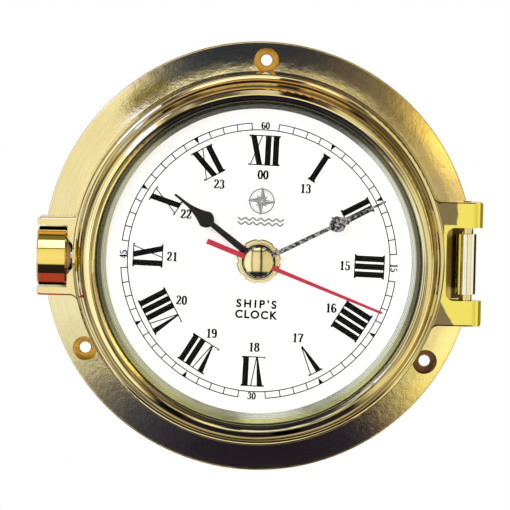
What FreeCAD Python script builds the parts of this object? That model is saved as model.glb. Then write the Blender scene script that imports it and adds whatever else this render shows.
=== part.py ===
import FreeCAD, Part
import math
import os

# Ship's deck clock: a hinged brass door carrying the glass, dial and quartz movement
# closes over a brass bulkhead flange. All lengths are in millimetres.
# The solids are drawn with x to the right, y towards twelve and z out of the bulkhead,
# and are stood upright when they are written.

V = FreeCAD.Vector
ORIGIN = V(0, 0, 0)
AXIS_X = V(1, 0, 0)
AXIS_Y = V(0, 1, 0)
AXIS_Z = V(0, 0, 1)

# Flange
FLANGE_R = 75.0
FLANGE_BORE_R = 54.0
COLLAR_R = 56.5
COLLAR_TOP = 13.0
SHOULDER_R = 65.0
SHOULDER_Z = 7.5
CROWN_Z = 8.0
RIM_Z = 2.2
SCREW_PCD = 137.0
SCREW_HOLE_R = 1.95
SINK_R = 4.3
SINK_TOP = 3.2
SCREW_ANGLES = (88.9, 208.9, 328.9)
SEAL_INNER_R = 59.5
SEAL_OUTER_R = 64.0
SEAL_SEAT_Z = 6.6
SEAL_TOP = 9.4
SMALL_SCREW_R = 1.5
SMALL_HEAD_R = 2.7
SMALL_HEAD_Z = 0.3
SMALL_HEAD_TALL = 1.2
KNUCKLE_SCREW_TIP = 11.4
KEEPER_SCREW_TIP = 13.0

# Door ring
DOOR_BACK = 9.5
DOOR_SHELF = 22.5
DOOR_FOOT_R = 64.9
DOOR_SHOULDER_R = 64.1
SKIRT_R = 58.8
SKIRT_TOP = 22.8
RING_CORE_R = 52.0
BORE_R = 56.2
NECK_R = 58.4
NECK_TOP = 33.6
LEFT_EAR_X = -76.3
LEFT_EAR_HALF = 13.5
RIGHT_EAR_X = 77.2
RIGHT_EAR_HALF = 21.45
EAR_ROUND = 3.0

# Hinge
PIN_X = 71.6
PIN_Z = 18.2
PIN_R = 1.5
KNUCKLE_R = 3.5
KNUCKLE_HALF = 10.4
POCKET_HALF = 12.6
POCKET_X = 64.6
LUG_UNDER_X = 66.5
LUG_UNDER_Z = 13.9
LUG_NOSE_R = 4.4
SPACER_R = 2.3
RUN_GAP = 0.05
THROUGH = 100.0

# Latch
LATCH_Z = 18.8
WHEEL_R = 10.2
WHEEL_OUT_X = -76.2
WHEEL_IN_X = -66.1
BOSS_R = 4.9
BOSS_RISE = 1.7
THREAD_R = 2.5
SCALLOP_R = 8.2
SCALLOP_X = -71.3
SCALLOP_Z = 20.4
SQUARE = 4.9
SQUARE_HOLE = 5.1
NECK_OUT_X = -64.3
NECK_IN_X = -58.9
SHANK_R = 2.3
BOLT_HEAD_R = 4.0
BOLT_HEAD_X = -52.6
DISH_R = 7.2
DISH_DEEP = 0.8
COIN_SLOT_DEEP = 2.2
COIN_SLOT_WIDE = 1.8
COIN_SLOT_LONG = 13.2
KEEPER_IN_X = -54.4
KEEPER_OUT_X = -57.9
KEEPER_HALF = 8.0
KEEPER_TOP = 22.2
KEEPER_SLOT = 5.4
KEEPER_SLOT_Z = 16.0

# Bezel and glass
BEZEL_SEAT = 27.6
BEZEL_BORE_R = 58.5
BEZEL_R = 60.0
BEZEL_BACK = 27.8
BEZEL_CREST = 39.4
LIP_R = 55.65
GLASS_R = 58.2
GLASS_BACK = 34.4
GLASS_FRONT = 36.6

# Dial stack
DIAL_R = 56.0
DIAL_BACK = 25.0
DIAL_FRONT = 25.8
DIAL_HOLE_R = 4.1
RETAINER_BACK = 23.0
RETAINER_R = 51.0
REHAUT_FOOT_R = 52.4
REHAUT_TOP_R = 55.1
REHAUT_RIBS = 6
REHAUT_FALL = 0.36
FIXED_R = 56.1

# Hands
HOUR_ANGLE = 307.8
MINUTE_ANGLE = 63.3
SECOND_ANGLE = 111.3
ALARM_ANGLE = 307.8
HOUR_LENGTH = 37.1
MINUTE_LENGTH = 48.5
SECOND_LENGTH = 45.5
SECOND_TAIL = 19.1
ALARM_LENGTH = 24.4
HOUR_HAND_Z = 30.0
MINUTE_HAND_Z = 31.1
SECOND_HAND_Z = 32.1
ALARM_HAND_Z = 28.95
HAND_THICK = 0.4
NEEDLE_THICK = 0.3
ALARM_HAND_THICK = 0.35
CAP_R = 4.9
CAP_RIM = 0.35
CAP_RISE = 0.95

# Nut on the movement bush
WASHER_R = 7.1
WASHER_TOP = DIAL_FRONT + 0.5
NUT_R = 7.6
NUT_RIM_TOP = WASHER_TOP + 1.1
NUT_CROWN_R = 6.5
NUT_TOP = WASHER_TOP + 2.0
NUT_SLOTS = 8

# Movement
CASE_HALF = 28.0
CASE_WALL = 1.2
CASE_BACK = 9.0
CASE_SPLIT = 19.0
CASE_FRONT = 24.4
FLOOR_Z = 10.2
PLATE_Z = 23.6
BUSH_R = 4.0
BUSH_BORE_R = 2.35
BUSH_FLANGE_R = 6.0
BUSH_TOP = 28.8
CELL_R = 7.0
CELL_END = 25.2
CELL_Y = -19.6
CELL_Z = 16.4
BAY_WALL_Y = -12.2
BAY_WALL_TOP = 15.9
KNOB_R = 4.5
KNOB_BACK = 3.5
KNOB_TOP = 8.6
STEM_END = 4.65
BUZZER_AT = (-15.5, 15.5)
BUZZER_R = 9.0
BOARD_Z = 17.0
LAMINATION_Z = 12.4
LAMINATION_TOP = 13.4

# Gear train: each level is the back face of one layer of wheels
WHEEL_THICK = 0.6
LEVEL_ROTOR = 11.0
LEVEL_FIFTH = 12.2
LEVEL_SECONDS = 13.6
BRIDGE_Z = 14.8
LEVEL_CENTRE = 16.2
LEVEL_CANNON = 17.6
LEVEL_HOUR = 19.2
LEVEL_ALARM = 20.8
MODULE = 0.3
CENTRE_MODULE = 27.0 / 85.0
CANNON_MODULE = 0.3125
ALARM_MODULE = 0.35
ARBOR_R = 0.5
CANNON_TUBE_R = 1.1
CANNON_SEAT_R = 0.95
HOUR_TUBE_R = 1.7
ALARM_TUBE_R = 2.3
PIVOT_R = 0.4
PIVOT_DEEP = 0.45
ARBOR_END = 0.1
STUD_R = 0.65
STEM_R = 1.0


def polar(x, y, radius, degrees):
    angle = math.radians(degrees)
    return (x + radius * math.cos(angle), y + radius * math.sin(angle))


HUB = (0.0, 0.0)
THIRD = polar(0.0, 0.0, 13.5, 115.0)
FIFTH = polar(0.0, 0.0, 10.5, 20.0)
ROTOR = polar(FIFTH[0], FIFTH[1], 9.0, 40.0)
MINUTE = polar(0.0, 0.0, 7.5, -10.0)
TIME_SET = polar(MINUTE[0], MINUTE[1], 9.375, -25.0)
ALARM_SET = polar(0.0, 0.0, 14.7, 190.0)


# ---------------------------------------------------------------- basic shapes

def rod(radius, low, high, at=HUB):
    return Part.makeCylinder(radius, high - low, V(at[0], at[1], low), AXIS_Z)


def rod_x(radius, left, right, y, z):
    return Part.makeCylinder(radius, right - left, V(left, y, z), AXIS_X)


def rod_y(radius, low, high, x, z):
    return Part.makeCylinder(radius, high - low, V(x, low, z), AXIS_Y)


def bore(radius, at=HUB):
    """Rod along z, long enough to drill right through any piece."""
    return rod(radius, -THROUGH, THROUGH, at)


def ring(outer, inner, low, high, at=HUB):
    return rod(outer, low, high, at).cut(bore(inner, at))


def block(x0, x1, y0, y1, z0, z1):
    return Part.makeBox(x1 - x0, y1 - y0, z1 - z0, V(x0, y0, z0))


def joined(first, *others):
    return first.fuse(list(others)).removeSplitter()


def prism(points, low, high):
    corners = [V(x, y, low) for x, y in points]
    face = Part.Face(Part.makePolygon(corners + corners[:1]))
    return face.extrude(V(0, 0, high - low))


def turned(path):
    """Solid of revolution about z. A path item is a point (r, z), or a pair of points
    (middle, end) for an arc from the point before it."""
    edges = []
    start = V(path[0][0], 0, path[0][1])
    last = start
    for item in path[1:]:
        if isinstance(item[0], tuple):
            middle = V(item[0][0], 0, item[0][1])
            end = V(item[1][0], 0, item[1][1])
            edges.append(Part.Arc(last, middle, end).toShape())
        else:
            end = V(item[0], 0, item[1])
            edges.append(Part.makeLine(last, end))
        last = end
    edges.append(Part.makeLine(last, start))
    return Part.Face(Part.Wire(edges)).revolve(ORIGIN, AXIS_Z, 360)


def outline(path, low, high):
    """Prism from a half outline of points or (middle, end) arcs in x, mirrored in y."""
    edges = []
    last = V(path[0][0], path[0][1], low)
    for item in path[1:]:
        if isinstance(item[0], tuple):
            middle = V(item[0][0], item[0][1], low)
            end = V(item[1][0], item[1][1], low)
            edges.append(Part.Arc(last, middle, end).toShape())
        else:
            end = V(item[0], item[1], low)
            edges.append(Part.makeLine(last, end))
        last = end
    mirror = [edge.mirror(ORIGIN, AXIS_Y) for edge in edges]
    first = V(path[0][0], path[0][1], low)
    if abs(first.y) > 0:
        edges.append(Part.makeLine(first, V(first.x, -first.y, low)))
    wire = Part.Wire(Part.__sortEdges__(edges + mirror))
    return Part.Face(wire).extrude(V(0, 0, high - low))


def clock_turn(shape, dial_angle):
    """Turn a shape drawn along x so that it points at dial_angle, clockwise from twelve."""
    turned_shape = shape.copy()
    turned_shape.rotate(ORIGIN, AXIS_Z, 90.0 - dial_angle)
    return turned_shape


def dome(radius, rise, low, at=HUB):
    """Spherical cap standing on the level low."""
    ball_r = (radius ** 2 + rise ** 2) / (2 * rise)
    ball = Part.makeSphere(ball_r, V(at[0], at[1], low + rise - ball_r), AXIS_X)
    return ball.common(rod(radius, low, low + rise + 1, at))


def around(shape, angles):
    copies = []
    for angle in angles:
        item = shape.copy()
        item.rotate(ORIGIN, AXIS_Z, angle)
        copies.append(item)
    return copies


# ---------------------------------------------------------------- base

def screw_holes():
    """Countersunk bulkhead screw holes, each with a flat spot bored into the crown."""
    depth = SINK_R - SCREW_HOLE_R
    cuts = []
    for angle in SCREW_ANGLES:
        at = polar(0, 0, SCREW_PCD / 2, angle)
        cuts.append(bore(SCREW_HOLE_R, at))
        cuts.append(rod(SINK_R, SINK_TOP, THROUGH, at))
        foot = V(at[0], at[1], SINK_TOP - depth)
        cuts.append(Part.makeCone(SCREW_HOLE_R, SINK_R, depth, foot, AXIS_Z))
    return cuts


def screw_head(x, y, gap):
    """Countersunk head of a screw driven from the back, with a gap all round."""
    foot = V(x, y, SMALL_HEAD_Z)
    return Part.makeCone(SMALL_HEAD_R + gap, SMALL_SCREW_R + gap, SMALL_HEAD_TALL, foot, AXIS_Z)


def back_screw(x, y, tip):
    """Countersunk machine screw driven from the back of the flange."""
    shank = rod(SMALL_SCREW_R, SMALL_HEAD_Z + 1.1, tip, (x, y))
    slot = block(x - 0.3, x + 0.3, y - 3, y + 3, SMALL_HEAD_Z - 0.1, SMALL_HEAD_Z + 0.5)
    return joined(screw_head(x, y, 0), shank).cut(slot)


def back_screw_hole(x, y, tip):
    mouth = rod(SMALL_HEAD_R + RUN_GAP, -1, SMALL_HEAD_Z, (x, y))
    shank = rod(SMALL_SCREW_R + RUN_GAP, SMALL_HEAD_Z + 1.1, tip, (x, y))
    return [mouth, screw_head(x, y, RUN_GAP), shank]


KNUCKLE_SCREWS = ((PIN_X, 6.0), (PIN_X, -6.0))
KEEPER_SCREWS = ((-56.15, 5.6), (-56.15, -5.6))
KNUCKLE_FOOT_Z = 4.0
KNUCKLE_FOOT_IN = 68.6
KNUCKLE_FOOT_OUT = 74.6
KNUCKLE_FOOT_HALF = 9.5


def base_flange():
    body = turned([
        (FLANGE_BORE_R, 0.0), (FLANGE_R - 0.6, 0.0), (FLANGE_R, 0.6), (FLANGE_R, 1.7),
        ((FLANGE_R - 0.12, 2.0), (FLANGE_R - 0.5, RIM_Z)),
        ((69.9, 5.45), (SHOULDER_R, CROWN_Z)),
        (SEAL_OUTER_R + 0.05, CROWN_Z), (SEAL_OUTER_R + 0.05, SEAL_SEAT_Z),
        (SEAL_INNER_R - 0.05, SEAL_SEAT_Z), (SEAL_INNER_R - 0.05, SHOULDER_Z),
        (COLLAR_R, SHOULDER_Z), (COLLAR_R, COLLAR_TOP - 0.5), (COLLAR_R - 0.5, COLLAR_TOP),
        (FLANGE_BORE_R + 0.3, COLLAR_TOP), (FLANGE_BORE_R, COLLAR_TOP - 0.3)])
    cuts = screw_holes()
    half = KNUCKLE_FOOT_HALF + RUN_GAP
    cuts.append(block(KNUCKLE_FOOT_IN - RUN_GAP, THROUGH, -half, half, KNUCKLE_FOOT_Z, THROUGH))
    reach = KEEPER_HALF + 2 * RUN_GAP
    cuts.append(block(-SEAL_INNER_R, KEEPER_IN_X + 4, -reach, reach, SHOULDER_Z, THROUGH))
    for x, y in KNUCKLE_SCREWS + KEEPER_SCREWS:
        cuts += back_screw_hole(x, y, THROUGH)
    return body.cut(cuts)


def hinge_knuckle():
    barrel = rod_y(KNUCKLE_R, -KNUCKLE_HALF, KNUCKLE_HALF, PIN_X, PIN_Z)
    half = KNUCKLE_FOOT_HALF
    web = block(KNUCKLE_FOOT_IN, KNUCKLE_FOOT_OUT, -half, half, KNUCKLE_FOOT_Z, PIN_Z)
    eye = rod_y(PIN_R + RUN_GAP, -THROUGH, THROUGH, PIN_X, PIN_Z)
    tip = KNUCKLE_SCREW_TIP + 0.2
    screws = [rod(SMALL_SCREW_R + RUN_GAP, 0, tip, at) for at in KNUCKLE_SCREWS]
    return joined(barrel, web).cut([eye] + screws)


def knuckle_screws():
    return Part.makeCompound([back_screw(x, y, KNUCKLE_SCREW_TIP) for x, y in KNUCKLE_SCREWS])


def latch_keeper():
    plate = block(KEEPER_OUT_X, KEEPER_IN_X, -KEEPER_HALF, KEEPER_HALF, SHOULDER_Z, KEEPER_TOP)
    uprights = [edge for edge in plate.Edges if edge.BoundBox.ZLength < 0.01
                and edge.BoundBox.YLength < 0.01 and edge.BoundBox.ZMin > 20]
    plate = plate.makeFillet(2.5, uprights)
    half = KEEPER_SLOT / 2
    throat = block(-THROUGH, 0, -half, half, KEEPER_SLOT_Z, THROUGH)
    tip = KEEPER_SCREW_TIP + 0.2
    screws = [rod(SMALL_SCREW_R + RUN_GAP, 0, tip, at) for at in KEEPER_SCREWS]
    return plate.cut([throat] + screws)


def keeper_screws():
    return Part.makeCompound([back_screw(x, y, KEEPER_SCREW_TIP) for x, y in KEEPER_SCREWS])


def door_seal():
    middle = (SEAL_INNER_R + SEAL_OUTER_R) / 2
    return turned([
        (SEAL_INNER_R, SEAL_SEAT_Z), (SEAL_OUTER_R, SEAL_SEAT_Z), (SEAL_OUTER_R, 8.6),
        ((middle, SEAL_TOP), (SEAL_INNER_R, 8.6))])


# ---------------------------------------------------------------- door ring and hinge

def ring_section():
    return turned([
        (RING_CORE_R - 2, DOOR_BACK), (DOOR_FOOT_R, DOOR_BACK), (DOOR_SHOULDER_R, DOOR_SHELF),
        (63.3, DOOR_SHELF), (62.6, DOOR_SHELF + 0.25), (62.5, 24.9), (62.1, 25.4), (61.5, 25.75),
        (61.4, 27.7), (61.15, 28.1), (60.3, 27.8), (60.2, BEZEL_SEAT), (NECK_R, BEZEL_SEAT),
        (NECK_R, NECK_TOP),
        (RING_CORE_R - 2, NECK_TOP)])


def ear_block(x0, x1, half):
    ear = block(x0, x1, -half, half, DOOR_BACK, DOOR_SHELF)
    outer = x1 if abs(x1) > abs(x0) else x0
    upright = [edge for edge in ear.Edges if edge.BoundBox.ZLength > 1
               and abs(edge.BoundBox.XMin - outer) < 0.01]
    return ear.makeFillet(1.2, upright)


def soften_top(shape):
    """Round the long front edges of the two ears."""
    picked = [edge for edge in shape.Edges
              if abs(edge.BoundBox.ZMin - DOOR_SHELF) < 0.01
              and abs(edge.BoundBox.ZMax - DOOR_SHELF) < 0.01
              and edge.BoundBox.XMin * edge.BoundBox.XMax > 0
              and max(abs(edge.BoundBox.XMin), abs(edge.BoundBox.XMax)) > 66.5]
    return shape.makeFillet(0.7, picked)


def ear_roots(shape):
    """Concave corner edges where the ears meet the round ring."""
    picked = []
    for edge in shape.Edges:
        box = edge.BoundBox
        upright = box.ZLength > 10 and box.YLength < 0.05
        for half in (LEFT_EAR_HALF, RIGHT_EAR_HALF):
            if upright and abs(abs(box.YMin) - half) < 0.01 and abs(box.XMin) < 65:
                picked.append(edge)
    return picked


def hinge_cuts():
    pocket = block(POCKET_X, THROUGH, -POCKET_HALF, POCKET_HALF, 0, THROUGH)
    corners = [edge for edge in pocket.Edges if edge.BoundBox.ZLength > 1
               and edge.BoundBox.XMin < POCKET_X + 1]
    pocket = pocket.makeFillet(2.8, corners)
    under = block(LUG_UNDER_X, THROUGH, -THROUGH, THROUGH, 0, LUG_UNDER_Z)
    nose_x = RIGHT_EAR_X - LUG_NOSE_R
    nose = block(nose_x, THROUGH, -THROUGH, THROUGH, 0, THROUGH)
    nose = nose.cut(rod_y(LUG_NOSE_R, -THROUGH, THROUGH, nose_x, PIN_Z))
    eye = rod_y(PIN_R + 0.02, -THROUGH, THROUGH, PIN_X, PIN_Z)
    return [pocket, under, nose, eye]


def latch_cuts():
    notch_half = WHEEL_R + 0.5
    notch = block(-THROUGH, WHEEL_IN_X + 0.1, -notch_half, notch_half, 0, THROUGH)
    scallop = rod(SCALLOP_R, SCALLOP_Z, THROUGH, (SCALLOP_X, 0))
    boss = rod_x(BOSS_R + 0.1, WHEEL_IN_X, WHEEL_IN_X + BOSS_RISE + 0.1, 0, LATCH_Z)
    half = SQUARE_HOLE / 2
    hole = block(-THROUGH, 0, -half, half, LATCH_Z - half, LATCH_Z + half)
    return [notch, scallop, boss, hole]


def door_ring():
    left = ear_block(LEFT_EAR_X, -RING_CORE_R, LEFT_EAR_HALF)
    right = ear_block(RING_CORE_R, RIGHT_EAR_X, RIGHT_EAR_HALF)
    body = joined(ring_section(), left, right)
    body = body.makeFillet(EAR_ROUND, ear_roots(body))
    body = soften_top(body)
    skirt = rod(SKIRT_R, 0, SKIRT_TOP)
    return body.cut([skirt, bore(BORE_R)] + hinge_cuts() + latch_cuts())


def hinge_pin():
    half = RIGHT_EAR_HALF + 0.3
    pin = rod_y(PIN_R, -half, half, PIN_X, PIN_Z)
    return pin.makeChamfer(0.3, [edge for edge in pin.Edges if edge.BoundBox.YLength < 0.01])


def hinge_spacers():
    eye = rod_y(PIN_R + RUN_GAP, -THROUGH, THROUGH, PIN_X, PIN_Z)
    tubes = []
    for low in (KNUCKLE_HALF + RUN_GAP, -POCKET_HALF + RUN_GAP):
        high = low + POCKET_HALF - KNUCKLE_HALF - 2 * RUN_GAP
        tubes.append(rod_y(SPACER_R, low, high, PIN_X, PIN_Z).cut(eye))
    return Part.makeCompound(tubes)


# ---------------------------------------------------------------- latch

def latch_wheel():
    drum = rod_x(WHEEL_R, WHEEL_OUT_X, WHEEL_IN_X, 0, LATCH_Z)
    rims = [edge for edge in drum.Edges if edge.BoundBox.XLength < 0.01]
    drum = drum.makeChamfer(0.5, rims)
    dome_r = (BOSS_R ** 2 + BOSS_RISE ** 2) / (2 * BOSS_RISE)
    dome = Part.makeSphere(dome_r, V(WHEEL_IN_X + BOSS_RISE - dome_r, 0, LATCH_Z))
    boss = dome.common(rod_x(BOSS_R, WHEEL_IN_X - 1, WHEEL_IN_X + 3, 0, LATCH_Z))
    dish = rod_x(DISH_R, WHEEL_OUT_X - 1, WHEEL_OUT_X + DISH_DEEP, 0, LATCH_Z)
    long = COIN_SLOT_LONG / 2
    wide = COIN_SLOT_WIDE / 2
    coin = block(WHEEL_OUT_X - 1, WHEEL_OUT_X + COIN_SLOT_DEEP, -long, long, LATCH_Z - wide, LATCH_Z + wide)
    eye = rod_x(THREAD_R + RUN_GAP, -THROUGH, 0, 0, LATCH_Z)
    return joined(drum, boss).cut([dish, coin, eye])


def latch_bolt():
    thread = rod_x(THREAD_R, WHEEL_OUT_X + 1.2, NECK_OUT_X, 0, LATCH_Z)
    half = SQUARE / 2
    neck = block(NECK_OUT_X, NECK_IN_X, -half, half, LATCH_Z - half, LATCH_Z + half)
    shank = rod_x(SHANK_R, NECK_IN_X - 0.1, BOLT_HEAD_X, 0, LATCH_Z)
    head = rod_x(BOLT_HEAD_R, KEEPER_IN_X + 0.1, BOLT_HEAD_X, 0, LATCH_Z)
    return joined(thread, neck, shank, head)


# ---------------------------------------------------------------- bezel, glass and dial stack

def bezel_ring():
    return turned([
        (BEZEL_BORE_R, BEZEL_BACK), (BEZEL_R, BEZEL_BACK), (BEZEL_R, 37.5),
        ((59.75, 38.45), (59.1, 39.0)), (57.8, BEZEL_CREST), (57.4, BEZEL_CREST - 0.05),
        ((56.6, 38.95), (LIP_R, 38.0)), (LIP_R, GLASS_FRONT + RUN_GAP),
        (BEZEL_BORE_R, GLASS_FRONT + RUN_GAP)])


def glass_gasket():
    return ring(GLASS_R, 55.4, NECK_TOP, GLASS_BACK)


def glass():
    return rod(GLASS_R, GLASS_BACK, GLASS_FRONT)


def rehaut():
    """Ring between dial and glass, stepped down to the dial in fine turned ribs."""
    path = [(REHAUT_FOOT_R, DIAL_FRONT), (FIXED_R, DIAL_FRONT), (FIXED_R, NECK_TOP)]
    tread = (REHAUT_TOP_R - REHAUT_FOOT_R) / REHAUT_RIBS
    pitch = (NECK_TOP - DIAL_FRONT) / REHAUT_RIBS
    for rib in range(REHAUT_RIBS):
        radius = REHAUT_TOP_R - rib * tread
        level = NECK_TOP - rib * pitch
        path += [(radius, level), (radius - tread, level - REHAUT_FALL * tread)]
    return turned(path)


def dial_plate():
    return ring(DIAL_R, DIAL_HOLE_R, DIAL_BACK, DIAL_FRONT)


def dial_retainer():
    body = ring(FIXED_R, RETAINER_R, RETAINER_BACK, DIAL_BACK)
    slot = block(RETAINER_R - 1, RETAINER_R + 2.2, -1.5, 1.5, 0, RETAINER_BACK + 1.2)
    return body.cut(around(slot, (45, 135, 225, 315)))


def bush_cushion():
    return ring(9.0, DIAL_HOLE_R, CASE_FRONT, DIAL_BACK)


def dial_washer():
    return ring(WASHER_R, DIAL_HOLE_R, DIAL_FRONT, WASHER_TOP)


def front_rim(shape, level):
    """Round edges lying in the plane z = level."""
    return [edge for edge in shape.Edges
            if edge.BoundBox.ZMin > level - 0.01 and edge.BoundBox.ZLength < 0.01]


def bush_nut():
    """Slotted round nut with a raised inner ring."""
    rim = rod(NUT_R, WASHER_TOP, NUT_RIM_TOP)
    rim = rim.makeChamfer(0.35, front_rim(rim, NUT_RIM_TOP))
    crown = rod(NUT_CROWN_R, NUT_RIM_TOP - 0.1, NUT_TOP)
    crown = crown.makeFillet(0.4, front_rim(crown, NUT_TOP))
    slot = block(NUT_CROWN_R + 0.4, NUT_R + 1, -0.7, 0.7, 0, THROUGH)
    slots = around(slot, [360.0 * step / NUT_SLOTS for step in range(NUT_SLOTS)])
    return joined(rim, crown).cut([bore(BUSH_R + RUN_GAP)] + slots)


def movement_bush():
    flange = rod(BUSH_FLANGE_R, PLATE_Z - 0.8, PLATE_Z)
    return joined(flange, rod(BUSH_R, PLATE_Z, BUSH_TOP)).cut(bore(BUSH_BORE_R))


# ---------------------------------------------------------------- hands

def spade_hand(length, root_half, neck, belly, belly_half, taper, low):
    """Bar, pear-shaped spade and fine tip, drawn along x."""
    tip_half = 0.5
    neck_half = root_half * 0.75
    return outline([
        (0.0, root_half), (neck, neck_half),
        ((neck + (belly - neck) * 0.35, belly_half * 0.8), (belly, belly_half)),
        ((belly + (taper - belly) * 0.45, belly_half * 0.42), (taper, tip_half)),
        (length - tip_half, tip_half * 0.8), (length, 0.0)], low, low + HAND_THICK)


def hour_hand():
    blade = spade_hand(HOUR_LENGTH, 1.28, 20.5, 23.6, 2.9, 33.1, HOUR_HAND_Z)
    body = joined(blade, rod(5.8, HOUR_HAND_Z, HOUR_HAND_Z + HAND_THICK))
    return clock_turn(body.cut(bore(CANNON_TUBE_R + RUN_GAP)), HOUR_ANGLE)


def minute_hand():
    blade = spade_hand(MINUTE_LENGTH, 0.88, 27.0, 31.0, 2.7, 36.0, MINUTE_HAND_Z)
    body = joined(blade, rod(5.4, MINUTE_HAND_Z, MINUTE_HAND_Z + HAND_THICK))
    return clock_turn(body.cut(bore(CANNON_SEAT_R)), MINUTE_ANGLE)


def second_hand():
    low = SECOND_HAND_Z
    high = low + NEEDLE_THICK
    needle = outline([(-SECOND_TAIL, 0.95), (-4.0, 0.85), (2.0, 0.75), (SECOND_LENGTH, 0.45),
                      (SECOND_LENGTH + 0.4, 0.0)], low, high)
    body = joined(needle, rod(3.4, low, high))
    return clock_turn(body.cut(bore(ARBOR_R)), SECOND_ANGLE)


def second_hand_cap():
    low = SECOND_HAND_Z + NEEDLE_THICK
    return joined(rod(CAP_R, low, low + CAP_RIM), dome(CAP_R, CAP_RISE, low + CAP_RIM))


def alarm_hand():
    low = ALARM_HAND_Z
    high = low + ALARM_HAND_THICK
    needle = outline([(0.0, 0.8), (ALARM_LENGTH - 0.4, 0.5), (ALARM_LENGTH, 0.0)], low, high)
    body = joined(needle, rod(3.6, low, high))
    return clock_turn(body.cut(bore(HOUR_TUBE_R + RUN_GAP)), ALARM_ANGLE)


# ---------------------------------------------------------------- gear train

def wheel(teeth, module, low, at, phase):
    """Flat gear with thin teeth; phase is the angle of the first tooth."""
    pitch_r = teeth * module / 2
    pitch = math.pi * module
    tip_r = pitch_r + 0.8 * module
    root_r = pitch_r - 1.15 * module
    points = []
    for tooth in range(teeth):
        centre = math.radians(phase) + tooth * 2 * math.pi / teeth
        for side in (-1, 1):
            corners = [(root_r, 0.2 * pitch / root_r), (pitch_r, 0.15 * pitch / pitch_r),
                       (tip_r, 0.07 * pitch / tip_r)]
            for radius, half in corners if side < 0 else reversed(corners):
                angle = centre + side * half
                points.append((at[0] + radius * math.cos(angle), at[1] + radius * math.sin(angle)))
    return prism(points, low, low + WHEEL_THICK)


def mesh_phase(angle, teeth_a, phase_a, teeth_b):
    """Phase of gear b so that a gap of b faces a tooth of a, seen from a along angle."""
    turn_a = (angle - phase_a) * teeth_a / 360.0
    turn_b = 0.5 - turn_a
    return angle + 180.0 - turn_b * 360.0 / teeth_b


def bearing(from_at, to_at):
    return math.degrees(math.atan2(to_at[1] - from_at[1], to_at[0] - from_at[0]))


def spoked(disc, at, inner, outer):
    """Three round lightening holes in a wheel."""
    radius = (outer - inner) / 2
    middle = (outer + inner) / 2
    return disc.cut([bore(radius, polar(at[0], at[1], middle, angle)) for angle in (30, 150, 270)])


def arbor(at, top):
    """Steel staff with a pivot at each end, between the case floor and the plate at top."""
    staff = rod(ARBOR_R, FLOOR_Z + ARBOR_END, top - ARBOR_END, at)
    return staff.fuse(rod(PIVOT_R, FLOOR_Z - PIVOT_DEEP, top + 0.4, at))


THIRD_PHASE = mesh_phase(bearing(HUB, THIRD), 10, 0.0, 80)
CENTRE_PHASE = mesh_phase(bearing(THIRD, HUB), 10, 0.0, 75)
FIFTH_PHASE = mesh_phase(bearing(HUB, FIFTH), 60, 0.0, 10)
ROTOR_PHASE = mesh_phase(bearing(FIFTH, ROTOR), 50, 0.0, 10)
MINUTE_PHASE = mesh_phase(bearing(HUB, MINUTE), 12, 0.0, 36)
HOUR_PHASE = mesh_phase(bearing(MINUTE, HUB), 10, 0.0, 40)
SET_PHASE = mesh_phase(bearing(MINUTE, TIME_SET), 36, MINUTE_PHASE, 24)
ALARM_PHASE = mesh_phase(bearing(HUB, ALARM_SET), 36, 0.0, 48)


def seconds_wheel():
    big = spoked(wheel(60, MODULE, LEVEL_FIFTH, HUB, 0.0), HUB, 3.0, 7.0)
    pinion = wheel(10, MODULE, LEVEL_SECONDS, HUB, 0.0)
    collar = rod(1.0, LEVEL_FIFTH, LEVEL_SECONDS)
    staff = rod(ARBOR_R, FLOOR_Z + ARBOR_END, SECOND_HAND_Z + NEEDLE_THICK)
    pivot = rod(PIVOT_R, FLOOR_Z - PIVOT_DEEP, FLOOR_Z + ARBOR_END)
    return joined(big, pinion, collar, staff, pivot)


def third_wheel():
    big = spoked(wheel(80, MODULE, LEVEL_SECONDS, THIRD, THIRD_PHASE), THIRD, 3.0, 10.0)
    pinion = wheel(10, CENTRE_MODULE, LEVEL_CENTRE, THIRD, 0.0)
    return joined(big, pinion, arbor(THIRD, PLATE_Z))


def fifth_wheel():
    big = wheel(50, MODULE, LEVEL_ROTOR, FIFTH, 0.0)
    pinion = wheel(10, MODULE, LEVEL_FIFTH, FIFTH, FIFTH_PHASE)
    collar = rod(1.0, LEVEL_ROTOR, LEVEL_FIFTH, FIFTH)
    return joined(big, pinion, collar, arbor(FIFTH, BRIDGE_Z))


def motor_rotor():
    pinion = wheel(10, MODULE, LEVEL_ROTOR, ROTOR, ROTOR_PHASE)
    magnet = rod(3.0, LEVEL_FIFTH, LEVEL_FIFTH + 1.8, ROTOR)
    return joined(pinion, magnet, arbor(ROTOR, BRIDGE_Z))


def centre_wheel():
    big = spoked(wheel(75, CENTRE_MODULE, LEVEL_CENTRE, HUB, CENTRE_PHASE), HUB, 3.0, 9.6)
    hub = rod(1.8, BRIDGE_Z + WHEEL_THICK + 0.1, LEVEL_CANNON - 0.1)
    return joined(big, hub).cut(bore(ARBOR_R + RUN_GAP))


def cannon_pinion():
    pinion = wheel(12, CANNON_MODULE, LEVEL_CANNON, HUB, 0.0)
    tube = rod(CANNON_TUBE_R, LEVEL_CANNON, MINUTE_HAND_Z)
    seat = rod(CANNON_SEAT_R, MINUTE_HAND_Z - 0.1, MINUTE_HAND_Z + HAND_THICK)
    return joined(pinion, tube, seat).cut(bore(ARBOR_R + RUN_GAP))


def minute_wheel():
    big = wheel(36, CANNON_MODULE, LEVEL_CANNON, MINUTE, MINUTE_PHASE)
    pinion = wheel(10, MODULE, LEVEL_HOUR, MINUTE, 0.0)
    collar = rod(1.1, LEVEL_CANNON, LEVEL_HOUR + 1.2, MINUTE)
    return joined(big, pinion, collar).cut(bore(STUD_R + RUN_GAP, MINUTE))


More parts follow.
